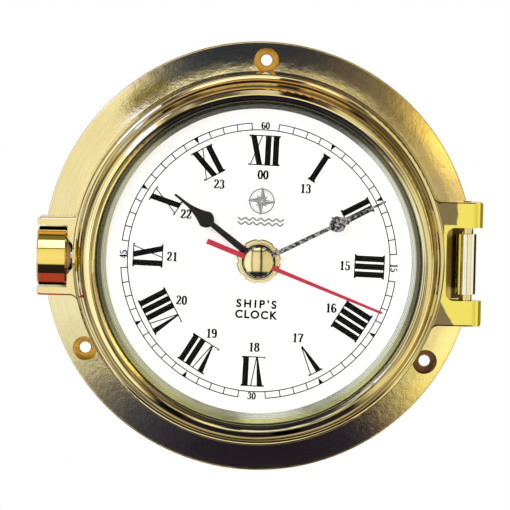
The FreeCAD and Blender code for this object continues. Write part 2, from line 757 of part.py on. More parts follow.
def hour_wheel():
    big = spoked(wheel(40, MODULE, LEVEL_HOUR, HUB, HOUR_PHASE), HUB, 2.2, 4.8)
    tube = rod(HOUR_TUBE_R, LEVEL_HOUR, HOUR_HAND_Z)
    return joined(big, tube).cut(bore(CANNON_TUBE_R + RUN_GAP))


def alarm_wheel():
    big = wheel(36, ALARM_MODULE, LEVEL_ALARM, HUB, 0.0)
    tube = rod(ALARM_TUBE_R, LEVEL_ALARM, ALARM_HAND_Z)
    return joined(big, tube).cut(bore(HOUR_TUBE_R + RUN_GAP))


def set_knob(at):
    """Knurled plastic knob with a cross slot, pushed on the end of a setting stem."""
    grip = rod(KNOB_R, KNOB_BACK, KNOB_TOP, at)
    grip = grip.makeFillet(0.5, [edge for edge in grip.Edges if edge.BoundBox.ZMax < KNOB_BACK + 0.1])
    groove_r = KNOB_R + 0.15
    grooves = [rod(0.45, 0, KNOB_TOP - 1.2, polar(at[0], at[1], groove_r, angle))
               for angle in range(0, 360, 20)]
    cross = block(at[0] - 3.0, at[0] + 3.0, at[1] - 0.5, at[1] + 0.5, 0, KNOB_BACK + 0.5)
    socket = rod(STEM_R + 0.02, STEM_END - 0.05, THROUGH, at)
    return grip.cut(grooves + [cross, socket])


def time_set_knob():
    return set_knob(TIME_SET)


def alarm_set_knob():
    return set_knob(ALARM_SET)


def time_set_pinion():
    gear = wheel(24, CANNON_MODULE, LEVEL_CANNON, TIME_SET, SET_PHASE)
    return joined(gear, rod(STEM_R, STEM_END, LEVEL_CANNON + 1.4, TIME_SET))


def alarm_set_gear():
    gear = spoked(wheel(48, ALARM_MODULE, LEVEL_ALARM, ALARM_SET, ALARM_PHASE), ALARM_SET, 2.6, 6.6)
    return joined(gear, rod(STEM_R, STEM_END, LEVEL_ALARM + 1.4, ALARM_SET))


# ---------------------------------------------------------------- movement case and electrics

def shell(low, high, inner_low, inner_high):
    outer = block(-CASE_HALF, CASE_HALF, -CASE_HALF, CASE_HALF, low, high)
    uprights = [edge for edge in outer.Edges if edge.BoundBox.ZLength > 1]
    outer = outer.makeFillet(1.5, uprights)
    inner = CASE_HALF - CASE_WALL
    return outer.cut(block(-inner, inner, -inner, inner, inner_low, inner_high))


def movement_front_case():
    body = shell(CASE_SPLIT, CASE_FRONT, CASE_SPLIT - 1, PLATE_Z)
    stud = rod(STUD_R, LEVEL_CANNON - 0.3, PLATE_Z + 0.2, MINUTE)
    pivot = rod(PIVOT_R + RUN_GAP, 0, PLATE_Z + 0.5, THIRD)
    return joined(body, stud).cut([bore(BUSH_R + 0.02), pivot])


SWITCH_X = -6.0
SWITCH_Y = 24.0


def movement_rear_case():
    body = shell(CASE_BACK, CASE_SPLIT, FLOOR_Z, 30)
    inner = CASE_HALF - CASE_WALL
    root = FLOOR_Z - 0.5
    wall = block(-inner - 0.5, inner + 0.5, BAY_WALL_Y, BAY_WALL_Y + 1.0, root, BAY_WALL_TOP)
    posts = [rod(1.0, root, BOARD_Z, at) for at in ((-24.5, 10.0), (-24.5, 24.5), (-14.5, 25.0))]
    props = [rod(1.0, root, LAMINATION_Z, at) for at in ((12.0, 15.6), (21.4, 15.6))]
    body = joined(body, wall, *(posts + props))
    cuts = [block(-inner, inner, -inner, BAY_WALL_Y, 0, FLOOR_Z + 0.5)]
    for at in (HUB, THIRD, FIFTH, ROTOR):
        cuts.append(rod(PIVOT_R + RUN_GAP, FLOOR_Z - PIVOT_DEEP - 0.1, FLOOR_Z + 1, at))
    for at in (TIME_SET, ALARM_SET):
        cuts.append(bore(STEM_R + RUN_GAP, at))
    for y in (11.0, 13.5, 16.0, 18.5):
        cuts.append(block(-21.0, -10.0, y, y + 1.0, 0, FLOOR_Z + 0.8))
    cuts.append(block(SWITCH_X - 2.1, SWITCH_X + 6.1, SWITCH_Y - 1.1, SWITCH_Y + 1.1, 0, FLOOR_Z + 0.8))
    return body.cut(cuts)


def alarm_switch():
    slider = block(SWITCH_X - 4.5, SWITCH_X + 4.5, SWITCH_Y - 2.2, SWITCH_Y + 2.2,
                   FLOOR_Z + 0.05, FLOOR_Z + 1.2)
    tab = block(SWITCH_X - 2.0, SWITCH_X + 2.0, SWITCH_Y - 1.0, SWITCH_Y + 1.0, 7.2, FLOOR_Z + 0.1)
    ribs = [block(x - 0.25, x + 0.25, SWITCH_Y - 2, SWITCH_Y + 2, 7.0, 7.5)
            for x in (SWITCH_X - 1.0, SWITCH_X, SWITCH_X + 1.0)]
    return joined(slider, tab).cut(ribs)


BRIDGE_LEGS = ((22.4, 0.2), (-10.9, -6.1), (7.8, 17.2))


def train_bridge():
    plate = prism([(-12.6, -7.6), (-11.4, 12.0), (-6.0, 16.6), (8.0, 19.2), (20.5, 14.2),
                   (24.4, 0.2), (23.6, -2.0), (9.0, -3.2), (-9.6, -8.0)],
                  BRIDGE_Z, BRIDGE_Z + WHEEL_THICK)
    legs = [rod(1.2, FLOOR_Z, BRIDGE_Z + 0.1, at) for at in BRIDGE_LEGS]
    holes = [bore(ARBOR_R + RUN_GAP, at) for at in (HUB, THIRD)]
    holes += [bore(PIVOT_R + RUN_GAP, at) for at in (FIFTH, ROTOR)]
    dimples = [rod(0.9, BRIDGE_Z + 0.35, THROUGH, at) for at in BRIDGE_LEGS]
    return joined(plate, *legs).cut(holes + dimples)


COIL_Y = 20.5
COIL_Z = 12.9
COIL_R = 2.4
CHEEK_R = 2.65
CHEEK_THICK = 0.6
CORE_HALF = 1.5
ROTOR_GAP_R = 3.5


def lamination(x0, x1, y0, y1):
    return block(x0, x1, y0, y1, LAMINATION_Z, LAMINATION_TOP)


def motor_stator():
    loop = rod(5.4, LAMINATION_Z, LAMINATION_TOP, ROTOR)
    top = COIL_Y + CORE_HALF
    left = lamination(10.4, 13.4, 10.0, top)
    right = lamination(20.2, 23.2, 10.0, top)
    core = lamination(10.4, 23.2, COIL_Y - CORE_HALF, top)
    return joined(loop, left, right, core).cut(bore(ROTOR_GAP_R, ROTOR))


def motor_coil():
    left, right = 13.5, 20.1
    winding = rod_x(COIL_R, left, right, COIL_Y, COIL_Z)
    cheeks = [rod_x(CHEEK_R, x, x + CHEEK_THICK, COIL_Y, COIL_Z) for x in (left, right - CHEEK_THICK)]
    half = CORE_HALF + RUN_GAP
    window = block(left - 1, right + 1, COIL_Y - half, COIL_Y + half,
                   LAMINATION_Z - RUN_GAP, LAMINATION_TOP + RUN_GAP)
    return joined(winding, *cheeks).cut(window)


def circuit_board():
    board = block(-26.2, -13.0, 8.0, 26.2, BOARD_Z, BOARD_Z + 1.0)
    return board.cut(bore(0.6, (-16.0, 10.5)))


def quartz_crystal():
    y, z = 12.5, BOARD_Z - 1.05
    can = rod_x(1.0, -23.5, -17.5, y, z)
    leads = [rod_x(0.2, -17.6, -16.0, y + side, z) for side in (-0.4, 0.4)]
    return joined(can, *leads)


def control_chip():
    blob = dome(3.0, 1.0, 0.0)
    blob.rotate(ORIGIN, AXIS_X, 180)
    return blob.translated(V(-19.0, 20.5, BOARD_Z))


def buzzer():
    body = rod(BUZZER_R, PLATE_Z - 3.6, PLATE_Z, BUZZER_AT)
    return body.cut(rod(1.5, 0, PLATE_Z - 2.6, BUZZER_AT))


def battery():
    can = rod_x(CELL_R, -CELL_END, CELL_END - 1.0, CELL_Y, CELL_Z)
    can = can.makeFillet(0.6, [edge for edge in can.Edges if edge.BoundBox.XLength < 0.01])
    return joined(can, rod_x(2.7, CELL_END - 1.2, CELL_END, CELL_Y, CELL_Z))


def contact_leaf(x0, x1):
    return block(x0, x1, CELL_Y - 4.0, CELL_Y + 4.0, CELL_Z - 5.0, CELL_Z + 5.0)


def battery_contact_plus():
    dimple = rod_x(1.6, CELL_END + RUN_GAP, 26.0, CELL_Y, CELL_Z)
    return joined(contact_leaf(25.9, 26.5), dimple)


def battery_contact_minus():
    spring = rod_x(3.0, -26.4, -CELL_END - RUN_GAP, CELL_Y, CELL_Z)
    spring = spring.cut(rod_x(2.2, -26.2, 0, CELL_Y, CELL_Z))
    return joined(contact_leaf(-26.7, -26.3), spring)


# ---------------------------------------------------------------- output

NODES = {
    "base_flange": base_flange,
    "hinge_knuckle": hinge_knuckle,
    "knuckle_screws": knuckle_screws,
    "latch_keeper": latch_keeper,
    "keeper_screws": keeper_screws,
    "door_seal": door_seal,
    "door_ring": door_ring,
    "bezel_ring": bezel_ring,
    "glass": glass,
    "glass_gasket": glass_gasket,
    "rehaut": rehaut,
    "dial_plate": dial_plate,
    "dial_retainer": dial_retainer,
    "hinge_pin": hinge_pin,
    "hinge_spacers": hinge_spacers,
    "latch_wheel": latch_wheel,
    "latch_bolt": latch_bolt,
    "movement_front_case": movement_front_case,
    "movement_rear_case": movement_rear_case,
    "movement_bush": movement_bush,
    "bush_cushion": bush_cushion,
    "dial_washer": dial_washer,
    "bush_nut": bush_nut,
    "train_bridge": train_bridge,
    "circuit_board": circuit_board,
    "quartz_crystal": quartz_crystal,
    "control_chip": control_chip,
    "motor_coil": motor_coil,
    "motor_stator": motor_stator,
    "buzzer": buzzer,
    "battery": battery,
    "battery_contact_plus": battery_contact_plus,
    "battery_contact_minus": battery_contact_minus,
    "motor_rotor": motor_rotor,
    "fifth_wheel": fifth_wheel,
    "seconds_wheel": seconds_wheel,
    "third_wheel": third_wheel,
    "centre_wheel": centre_wheel,
    "cannon_pinion": cannon_pinion,
    "minute_wheel": minute_wheel,
    "hour_wheel": hour_wheel,
    "alarm_wheel": alarm_wheel,
    "hour_hand": hour_hand,
    "minute_hand": minute_hand,
    "second_hand": second_hand,
    "second_hand_cap": second_hand_cap,
    "alarm_hand": alarm_hand,
    "time_set_pinion": time_set_pinion,
    "time_set_knob": time_set_knob,
    "alarm_set_gear": alarm_set_gear,
    "alarm_set_knob": alarm_set_knob,
    "alarm_switch": alarm_switch,
}


def main():
    os.makedirs("parts", exist_ok=True)
    for name, make in NODES.items():
        upright = make().copy()
        upright.rotate(ORIGIN, AXIS_X, 90)
        upright.exportStep("parts/" + name + ".step")
        print(name, len(upright.Solids), upright.isValid(), round(upright.Volume, 2))


main()
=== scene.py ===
import math

import bmesh
import bpy
from mathutils import Matrix, Vector

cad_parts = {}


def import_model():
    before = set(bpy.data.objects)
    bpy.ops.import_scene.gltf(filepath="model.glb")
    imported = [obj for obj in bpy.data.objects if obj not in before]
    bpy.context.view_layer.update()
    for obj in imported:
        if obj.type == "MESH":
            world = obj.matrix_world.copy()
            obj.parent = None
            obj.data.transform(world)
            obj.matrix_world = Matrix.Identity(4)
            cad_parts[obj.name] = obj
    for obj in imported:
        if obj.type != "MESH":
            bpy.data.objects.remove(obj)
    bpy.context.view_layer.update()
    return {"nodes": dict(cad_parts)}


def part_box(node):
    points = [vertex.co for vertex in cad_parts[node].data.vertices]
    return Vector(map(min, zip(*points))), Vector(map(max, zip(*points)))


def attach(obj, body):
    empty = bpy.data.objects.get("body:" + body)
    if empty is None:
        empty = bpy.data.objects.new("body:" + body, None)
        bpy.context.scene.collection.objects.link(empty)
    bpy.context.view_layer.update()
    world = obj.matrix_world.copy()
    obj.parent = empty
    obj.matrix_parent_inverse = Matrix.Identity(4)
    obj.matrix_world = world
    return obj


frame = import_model()
nodes = frame["nodes"]

MM = 0.001
DIAL_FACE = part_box("dial_plate")[0][1]
DIAL_TURN = 1.8  # degrees clockwise
INK_LIFT = 0.02 * MM
INK_THICK = 0.05 * MM


# ---------------------------------------------------------------- shader helpers

def rgb(red, green, blue):
    return (red, green, blue, 1.0)


class Nodes:
    """Short names for adding nodes to a node tree and joining them."""

    def __init__(self, tree):
        self.tree = tree

    def add(self, kind, **settings):
        node = self.tree.nodes.new(kind)
        for key, value in settings.items():
            setattr(node, key, value)
        return node

    def link(self, source, target):
        self.tree.links.new(source, target)

    def feed(self, value, socket):
        """Link the socket to another node's output, or set it to a plain value."""
        if isinstance(value, bpy.types.NodeSocket):
            self.link(value, socket)
        else:
            socket.default_value = value

    def split(self, vector):
        node = self.add("ShaderNodeSeparateXYZ")
        self.link(vector, node.inputs["Vector"])
        return node.outputs

    def maths(self, operation, first, second=None):
        node = self.add("ShaderNodeMath", operation=operation)
        self.feed(first, node.inputs[0])
        if second is not None:
            self.feed(second, node.inputs[1])
        return node.outputs[0]

    def blend(self, factor, first, second, how="MIX"):
        node = self.add("ShaderNodeMix", data_type="RGBA", blend_type=how)
        colours = [s for s in node.inputs if s.type == "RGBA"]
        self.feed(first, colours[0])
        self.feed(second, colours[1])
        self.feed(factor, node.inputs["Factor"])
        return [s for s in node.outputs if s.type == "RGBA"][0]

    def spread(self, value, low, high, to_low, to_high):
        """Number that goes from to_low to to_high while value goes from low to high."""
        node = self.add("ShaderNodeMapRange")
        ends = (("From Min", low), ("From Max", high), ("To Min", to_low), ("To Max", to_high))
        for key, number in ends:
            node.inputs[key].default_value = number
        self.link(value, node.inputs["Value"])
        return node.outputs["Result"]

    def above(self, value, edge, soft):
        """0 up to the edge, and 1 from edge + soft."""
        return self.spread(value, edge, edge + soft, 0.0, 1.0)

    def below(self, value, edge, soft):
        """1 up to the edge, and 0 from edge + soft."""
        return self.spread(value, edge, edge + soft, 1.0, 0.0)


class Paint(Nodes):
    """A new material with its Principled shader, and short names for its patterns."""

    def __init__(self, name, **values):
        self.material = bpy.data.materials.new(name)
        self.material.use_nodes = True
        super().__init__(self.material.node_tree)
        self.shader = self.tree.nodes["Principled BSDF"]
        for key, value in values.items():
            self.shader.inputs[key.replace("_", " ")].default_value = value

    def position(self):
        return self.add("ShaderNodeTexCoord").outputs["Object"]

    def axis(self, letter):
        return self.split(self.position())[letter]

    def stretched(self, scale, source=None):
        mapping = self.add("ShaderNodeMapping")
        mapping.inputs["Scale"].default_value = scale
        self.link(source or self.position(), mapping.inputs["Vector"])
        return mapping.outputs["Vector"]

    def noise(self, vector, scale, detail=4.0, roughness=0.6):
        node = self.add("ShaderNodeTexNoise")
        node.inputs["Scale"].default_value = scale
        node.inputs["Detail"].default_value = detail
        node.inputs["Roughness"].default_value = roughness
        self.link(vector, node.inputs["Vector"])
        return node.outputs["Fac"]

    def colour(self, value):
        self.link(value, self.shader.inputs["Base Color"])

    def rough(self, value):
        self.link(value, self.shader.inputs["Roughness"])

    def bump(self, height, strength, distance):
        node = self.add("ShaderNodeBump")
        node.inputs["Strength"].default_value = strength
        node.inputs["Distance"].default_value = distance
        self.link(height, node.inputs["Height"])
        self.link(node.outputs["Normal"], self.shader.inputs["Normal"])

    def crevices(self, colour, dirt_and_shade, reach, low=0.15, high=0.5):
        """Painted shade in gaps and inside corners, with the polish and dirt that collect there."""
        hollow = self.add("ShaderNodeAmbientOcclusion", samples=8)
        hollow.inputs["Distance"].default_value = reach
        return self.blend(self.spread(hollow.outputs["AO"], low, high, 0.0, 1.0), dirt_and_shade, colour)

    def turning(self):
        """Vector (radius, angle, depth) about the clock's axis for marks left by turning, and its radius."""
        x, y, z = self.split(self.position())
        across, up = self.maths("MULTIPLY", x, x), self.maths("MULTIPLY", z, z)
        radius = self.maths("SQRT", self.maths("ADD", across, up))
        join = self.add("ShaderNodeCombineXYZ")
        self.link(radius, join.inputs["X"])
        self.link(self.maths("ARCTAN2", z, x), join.inputs["Y"])
        self.link(y, join.inputs["Z"])
        return join.outputs["Vector"], radius


BRASS = rgb(0.83, 0.66, 0.30)
BRASS_PALE = rgb(0.90, 0.79, 0.44)
BRASS_DEEP = rgb(0.70, 0.48, 0.16)
BRASS_RICH = rgb(0.95, 0.74, 0.17)
BRASS_AMBER = rgb(0.93, 0.72, 0.20)
BRASS_WORN = rgb(0.94, 0.91, 0.78)
# Dull brown painted on the latch wheel's boss as its shade.
BOSS_SHADED_BROWN = rgb(0.50, 0.33, 0.16)
# Countersink colours: gold where they are painted as lit, brown where they are painted as shaded.
SINK_LIT_GOLD = rgb(0.85, 0.62, 0.25)
SINK_SHADED_BROWN = rgb(0.40, 0.27, 0.18)
# Dark brown for painted shade in gaps and hollows, together with the dirt there.
SHADE_AND_SOIL = rgb(0.11, 0.07, 0.035)
STAIN = rgb(0.13, 0.10, 0.045)
OLIVE = rgb(0.90, 0.74, 0.38)
SCRATCHES = (900.0, 900.0, 2500.0)


def polished_brass(name, roughness=0.07, bright=BRASS_PALE, deep=BRASS, reach=0.0):
    """Hand-polished brass: faint tarnished clouds, fine scratches, and, given a reach, painted shade with
    dirt in its gaps and corners.
    """
    paint = Paint(name, Metallic=1.0)
    vector = paint.position()
    cloud = paint.noise(vector, 45.0, 5.0)
    colour = paint.blend(paint.spread(cloud, 0.35, 0.7, 0.0, 1.0), bright, deep)
    # With a reach, gaps and inside corners get painted shade mixed with dirt.
    paint.colour(paint.crevices(colour, SHADE_AND_SOIL, reach) if reach else colour)
    haze = paint.noise(vector, 260.0, 3.0)
    paint.rough(paint.spread(haze, 0.3, 0.8, roughness, roughness + 0.08))
    scratch = paint.noise(paint.stretched(SCRATCHES, vector), 1.0, 3.0)
    paint.bump(scratch, 0.03, 0.1 * MM)
    return paint.material


# The ears begin at EAR_RADIUS, and a reflection is painted on them: dark towards the glass, bright from the
# edge given next. On the lower ear that edge follows EAR_SLANT, as (z, x) at its ends. The pocket between
# them starts at POCKET_LEFT.
EAR_REFLECTION_DARK = rgb(0.22, 0.17, 0.08)
EAR_REFLECTION_BRIGHT = rgb(0.88, 0.78, 0.15)
EAR_RADIUS = 64.15 * MM
EAR_REFLECTION_EDGE = 68.1 * MM
EAR_MIDDLE = 68.3 * MM
EAR_SLANT = ((-20.9 * MM, 67.6 * MM), (-12.9 * MM, 63.0 * MM))
POCKET_HALF = 13.4 * MM
POCKET_LEFT = 63.5 * MM


def hinge_ear_colour(paint, colour, radius):
    """Hinge ear with a painted reflection: bright towards the pin and round its pocket, dark nearer the
    glass.
    """
    x, _, z = paint.split(paint.position())
    (low, low_edge), (high, high_edge) = EAR_SLANT
    slant = paint.spread(z, low, high, low_edge, high_edge)
    lower_ear = paint.below(z, -1.0 * MM, 2.0 * MM)
    drop = paint.maths("MULTIPLY", lower_ear, paint.maths("SUBTRACT", slant, EAR_MIDDLE))
    wobble = paint.spread(paint.noise(paint.position(), 160.0, 3.0), 0.3, 0.7, -0.6 * MM, 0.6 * MM)
    past = paint.maths("SUBTRACT", paint.maths("SUBTRACT", x, drop), wobble)
    # Painted reflection: dark left of the edge, bright right of it.
    painted_dark_reflection = paint.below(past, EAR_REFLECTION_EDGE, 0.5 * MM)
    # Painted highlight along the rim of the pocket.
    near_pocket = paint.below(paint.maths("ABSOLUTE", z), POCKET_HALF, 0.3 * MM)
    rim = paint.maths("MULTIPLY", near_pocket, paint.above(x, POCKET_LEFT, 0.3 * MM))
    painted_dark_reflection = paint.maths("MULTIPLY", painted_dark_reflection, paint.maths("SUBTRACT", 1.0, rim))
    right = paint.above(x, 0.0, 1.0 * MM)
    ear = paint.maths("MULTIPLY", right, paint.above(radius, EAR_RADIUS, 0.15 * MM))
    return paint.blend(ear, colour, paint.blend(painted_dark_reflection, EAR_REFLECTION_BRIGHT, EAR_REFLECTION_DARK))


# Radii of the inside corners between the door ring's mouldings, and of its outer edge.
RING_CORNERS = (57.1, 60.15, 61.45, 62.55, 63.95)
RING_RADIUS = 63.9 * MM


def turned_brass(name):
    """Brass polished on a lathe, slightly wavy, with dark polish left in grooves and corners, painted shade
    with dirt in its gaps, and a painted reflection on the hinge ear.
    """
    paint = Paint(name, Metallic=1.0)
    vector, radius = paint.turning()
    rings = paint.noise(paint.stretched((9000.0, 1.2, 9000.0), vector), 1.0, 2.0)
    cloud = paint.noise(paint.position(), 40.0, 5.0)
    colour = paint.blend(paint.spread(cloud, 0.35, 0.7, 0.0, 1.0), BRASS_PALE, BRASS)
    nearest = 1.0
    for corner in RING_CORNERS:
        gap = paint.maths("ABSOLUTE", paint.maths("SUBTRACT", radius, corner * MM))
        nearest = paint.maths("MINIMUM", gap, nearest)
    patchy = paint.spread(paint.noise(vector, 2.3, 3.0), 0.35, 0.55, 0.35, 1.0)
    stain = paint.maths("MULTIPLY", paint.below(nearest, 0.10 * MM, 0.16 * MM), patchy)
    groove = paint.noise(paint.stretched((1700.0, 1.1, 300.0), vector), 1.0, 2.0, 0.5)
    inside = paint.spread(radius, RING_RADIUS, RING_RADIUS + 0.3 * MM, 0.75, 0.0)
    groove = paint.maths("MULTIPLY", paint.spread(groove, 0.52, 0.60, 0.0, 1.0), inside)
    colour = paint.blend(paint.maths("MAXIMUM", stain, groove), colour, STAIN)
    # Painted reflection on the hinge ear.
    colour = hinge_ear_colour(paint, colour, radius)
    # Painted shade, with dirt, in gaps and inside corners.
    paint.colour(paint.crevices(colour, SHADE_AND_SOIL, 2.5 * MM, 0.25, 0.65))
    paint.rough(paint.spread(rings, 0.3, 0.7, 0.02, 0.06))
    swell = paint.noise(paint.position(), 28.0, 1.0, 0.3)
    ripple = paint.noise(paint.position(), 500.0, 3.0, 0.5)
    height = paint.maths("ADD", paint.maths("MULTIPLY", rings, 0.008), swell)
    height = paint.maths("ADD", height, paint.maths("MULTIPLY", ripple, 0.020))
    paint.bump(height, 1.0, 0.1 * MM)
    return paint.material


# The flange's countersunk holes, its front, and the bay behind the hinge pocket.
SCREW_CIRCLE = 68.5 * MM
SCREW_ANGLES = (88.9, 208.9, 328.9)
SINK_RADIUS = 4.25 * MM
FLANGE_FRONT = -1.2 * MM
BAY_FROM = 64.0 * MM
# Deeper into the bay than this, the flange is painted dark as shade.
BAY_SHADED_FROM = 66.8 * MM
BAY_HALF = 12.9 * MM


def from_nearest_screw(paint):
    """Distance from the axis of the nearest screw hole in the flange."""
    nearest = 1.0
    for turn in SCREW_ANGLES:
        angle = math.radians(turn)
        gap = paint.add("ShaderNodeVectorMath", operation="DISTANCE")
        paint.link(paint.stretched((1.0, 0.0, 1.0)), gap.inputs[0])
        gap.inputs[1].default_value = (SCREW_CIRCLE * math.cos(angle), 0.0, SCREW_CIRCLE * math.sin(angle))
        nearest = paint.maths("MINIMUM", gap.outputs["Value"], nearest)
    return nearest


def brushed_brass(name):
    """Brass brushed round the axis, with painted shade in its gaps; countersinks painted with light and
    shade; the bay at the hinge left rough and painted dark as shade deeper in.
    """
    paint = Paint(name, Metallic=1.0)
    vector, _ = paint.turning()
    fine = paint.noise(paint.stretched((6000.0, 5.0, 6000.0), vector), 1.0, 3.0)
    coarse = paint.noise(paint.stretched((1700.0, 9.0, 1700.0), vector), 1.0, 5.0)
    streak = paint.maths("ADD", paint.maths("MULTIPLY", fine, 0.6), paint.maths("MULTIPLY", coarse, 0.4))
    colour = paint.blend(paint.spread(streak, 0.35, 0.65, 0.0, 1.0), BRASS, BRASS_PALE)
    # Painted shade, with some dirt, wherever the flange is hemmed in, deep in the hinge pocket most of all.
    colour = paint.crevices(colour, SHADE_AND_SOIL, 14.0 * MM, 0.20, 0.42)
    x, y, z = paint.split(paint.position())
    front = paint.below(y, FLANGE_FRONT, 0.2 * MM)
    # Countersinks painted with light and shade: gold at the top and lower left, brown at the lower right.
    shade = paint.blend(paint.above(x, -40.0 * MM, 80.0 * MM), SINK_LIT_GOLD, SINK_SHADED_BROWN)
    sink = paint.blend(paint.above(z, 0.0, 30.0 * MM), shade, SINK_LIT_GOLD)
    cut = paint.below(from_nearest_screw(paint), SINK_RADIUS, 0.1 * MM)
    colour = paint.blend(paint.maths("MULTIPLY", front, cut), colour, sink)
    # The bay behind the hinge pocket: rougher, pale near the pocket's wall, and painted dark as shade deeper
    # in.
    beside = paint.below(paint.maths("ABSOLUTE", z), BAY_HALF, 0.1 * MM)
    bay = paint.maths("MULTIPLY", paint.above(x, BAY_FROM, 0.1 * MM), beside)
    bay = paint.maths("MULTIPLY", bay, front)
    bay_shading = paint.blend(paint.above(x, BAY_SHADED_FROM, 0.6 * MM), OLIVE, SHADE_AND_SOIL)
    paint.colour(paint.blend(bay, colour, bay_shading))
    polish = paint.spread(streak, 0.35, 0.65, 0.10, 0.17)
    paint.rough(paint.maths("ADD", polish, paint.maths("MULTIPLY", bay, 0.4)))
    cloud = paint.noise(paint.position(), 150.0, 6.0, 0.7)
    height = paint.maths("ADD", paint.maths("MULTIPLY", streak, 0.12), cloud)
    paint.bump(height, 1.0, 0.2 * MM)
    return paint.material


BOSS_FROM = -66.05 * MM


def wheel_brass(name):
    """Rich lacquered brass on the thumb wheel; the unpolished boss behind it is left dull and painted dark
    brown as its shade.
    """
    paint = Paint(name, Metallic=1.0)
    boss = paint.above(paint.axis("X"), BOSS_FROM, 0.05 * MM)
    cloud = paint.noise(paint.position(), 45.0, 5.0)
    face = paint.blend(cloud, BRASS_RICH, BRASS_AMBER)
    # The boss is painted dark brown, as shade.
    paint.colour(paint.blend(boss, face, BOSS_SHADED_BROWN))
    polish = paint.spread(paint.noise(paint.position(), 260.0, 3.0), 0.3, 0.8, 0.03, 0.08)
    paint.rough(paint.maths("ADD", polish, paint.maths("MULTIPLY", boss, 0.5)))
    paint.link(paint.maths("SUBTRACT", 1.0, boss), paint.shader.inputs["Metallic"])
    scratch = paint.noise(paint.stretched(SCRATCHES), 1.0, 3.0)
    paint.bump(scratch, 0.03, 0.1 * MM)
    return paint.material


REHAUT_FOOT = 53.7 * MM
RIB_SCALE = 700.0


def ribbed_silver(name):
    """Plated ring between dial and glass: pale foot; above it a painted reflection, dark grey at the top of
    the clock and yellow-green towards the bottom; fine dark ribs, shaded the same way.
    """
    paint = Paint(name, Metallic=0.85)
    vector, radius = paint.turning()
    line = paint.add("ShaderNodeTexWave", wave_type="BANDS", bands_direction="X", wave_profile="SIN")
    line.inputs["Scale"].default_value = RIB_SCALE
    line.inputs["Distortion"].default_value = 0.6
    paint.link(vector, line.inputs["Vector"])
    # Painted reflection: the ring's outer part and its ribs are dark near the top of the clock and
    # yellow-green near the bottom.
    painted_reflection_below = paint.below(paint.axis("Z"), -45.0 * MM, 30.0 * MM)
    cloud = paint.noise(paint.position(), 200.0, 4.0)
    foot = paint.blend(cloud, rgb(0.62, 0.63, 0.56), rgb(0.74, 0.74, 0.68))
    top = paint.blend(painted_reflection_below, rgb(0.09, 0.09, 0.045), rgb(0.62, 0.60, 0.25))
    colour = paint.blend(paint.above(radius, REHAUT_FOOT, 0.6 * MM), foot, top)
    dark = paint.blend(painted_reflection_below, rgb(0.16, 0.16, 0.11), rgb(0.40, 0.40, 0.26))
    paint.colour(paint.blend(paint.spread(line.outputs["Fac"], 0.55, 0.85, 0.0, 0.8), colour, dark))
    paint.rough(paint.spread(cloud, 0.3, 0.7, 0.10, 0.18))
    return paint.material


def flecked(name, dark, light, roughness, grain, metallic=0.0, bump=0.0, specular=0.5, edge=0.15):
    """Paint, plastic or rubber with a fine mottled grain; a small edge gives hard-edged specks."""
    paint = Paint(name, Metallic=metallic)
    paint.shader.inputs["Specular IOR Level"].default_value = specular
    speck = paint.noise(paint.position(), grain, 5.0, 0.7)
    factor = paint.spread(speck, 0.5 - edge, 0.5 + edge, 0.0, 1.0)
    paint.colour(paint.blend(factor, rgb(*dark), rgb(*light)))
    paint.rough(paint.spread(speck, 0.3, 0.7, roughness, roughness * 1.3))
    if bump:
        paint.bump(speck, bump, 0.1 * MM)
    return paint.material


def clear_glass():
    """Thin clear glass: mostly transparent, with a faint reflection that grows to the edges."""
    paint = Paint("glass_clear")
    paint.tree.nodes.remove(paint.shader)
    output = next(n for n in paint.tree.nodes if n.type == "OUTPUT_MATERIAL")
    clear = paint.add("ShaderNodeBsdfTransparent")
    gloss = paint.add("ShaderNodeBsdfGlossy")
    gloss.inputs["Roughness"].default_value = 0.02
    fresnel = paint.add("ShaderNodeFresnel")
    fresnel.inputs["IOR"].default_value = 1.12
    smear = paint.noise(paint.position(), 60.0, 4.0)
    smear = paint.spread(smear, 0.3, 0.7, 0.0, 1.0)
    paint.link(paint.blend(smear, rgb(0.99, 0.99, 0.99), rgb(0.98, 0.982, 0.985)), clear.inputs["Color"])
    mix = paint.add("ShaderNodeMixShader")
    paint.link(fresnel.outputs["Fac"], mix.inputs["Fac"])
    paint.link(clear.outputs["BSDF"], mix.inputs[1])
    paint.link(gloss.outputs["BSDF"], mix.inputs[2])
    paint.link(mix.outputs["Shader"], output.inputs["Surface"])
    return paint.material


SLEEVE_SHOULDER = 11.0 * MM


def battery_sleeve():
    """Plain two-tone sleeve: blue body with a bronze shoulder at the positive end."""
    paint = Paint("battery_sleeve", Metallic=0.6, Roughness=0.3)
    band = paint.maths("GREATER_THAN", paint.axis("X"), SLEEVE_SHOULDER)
    cloud = paint.noise(paint.position(), 300.0, 4.0)
    blue = paint.blend(cloud, rgb(0.02, 0.07, 0.20), rgb(0.03, 0.10, 0.26))
    paint.colour(paint.blend(band, blue, rgb(0.60, 0.33, 0.12)))
    return paint.material


def coil_wire():
    """Enamelled copper wire in close turns."""
    paint = Paint("coil_wire", Metallic=0.4, Roughness=0.35)
    wave = paint.add("ShaderNodeTexWave", bands_direction="X")
    wave.inputs["Scale"].default_value = 900.0
    paint.link(paint.position(), wave.inputs["Vector"])
    paint.colour(paint.blend(wave.outputs["Fac"], rgb(0.35, 0.13, 0.04), rgb(0.72, 0.34, 0.13)))
    paint.bump(wave.outputs["Fac"], 0.4, 0.1 * MM)
    return paint.material


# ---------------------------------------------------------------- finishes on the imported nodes

def finish_nodes(material, *names):
    """Give the named CAD nodes the material in place of what they came with."""
    for name in names:
        mesh = nodes[name].data
        mesh.materials.clear()
        mesh.materials.append(material)


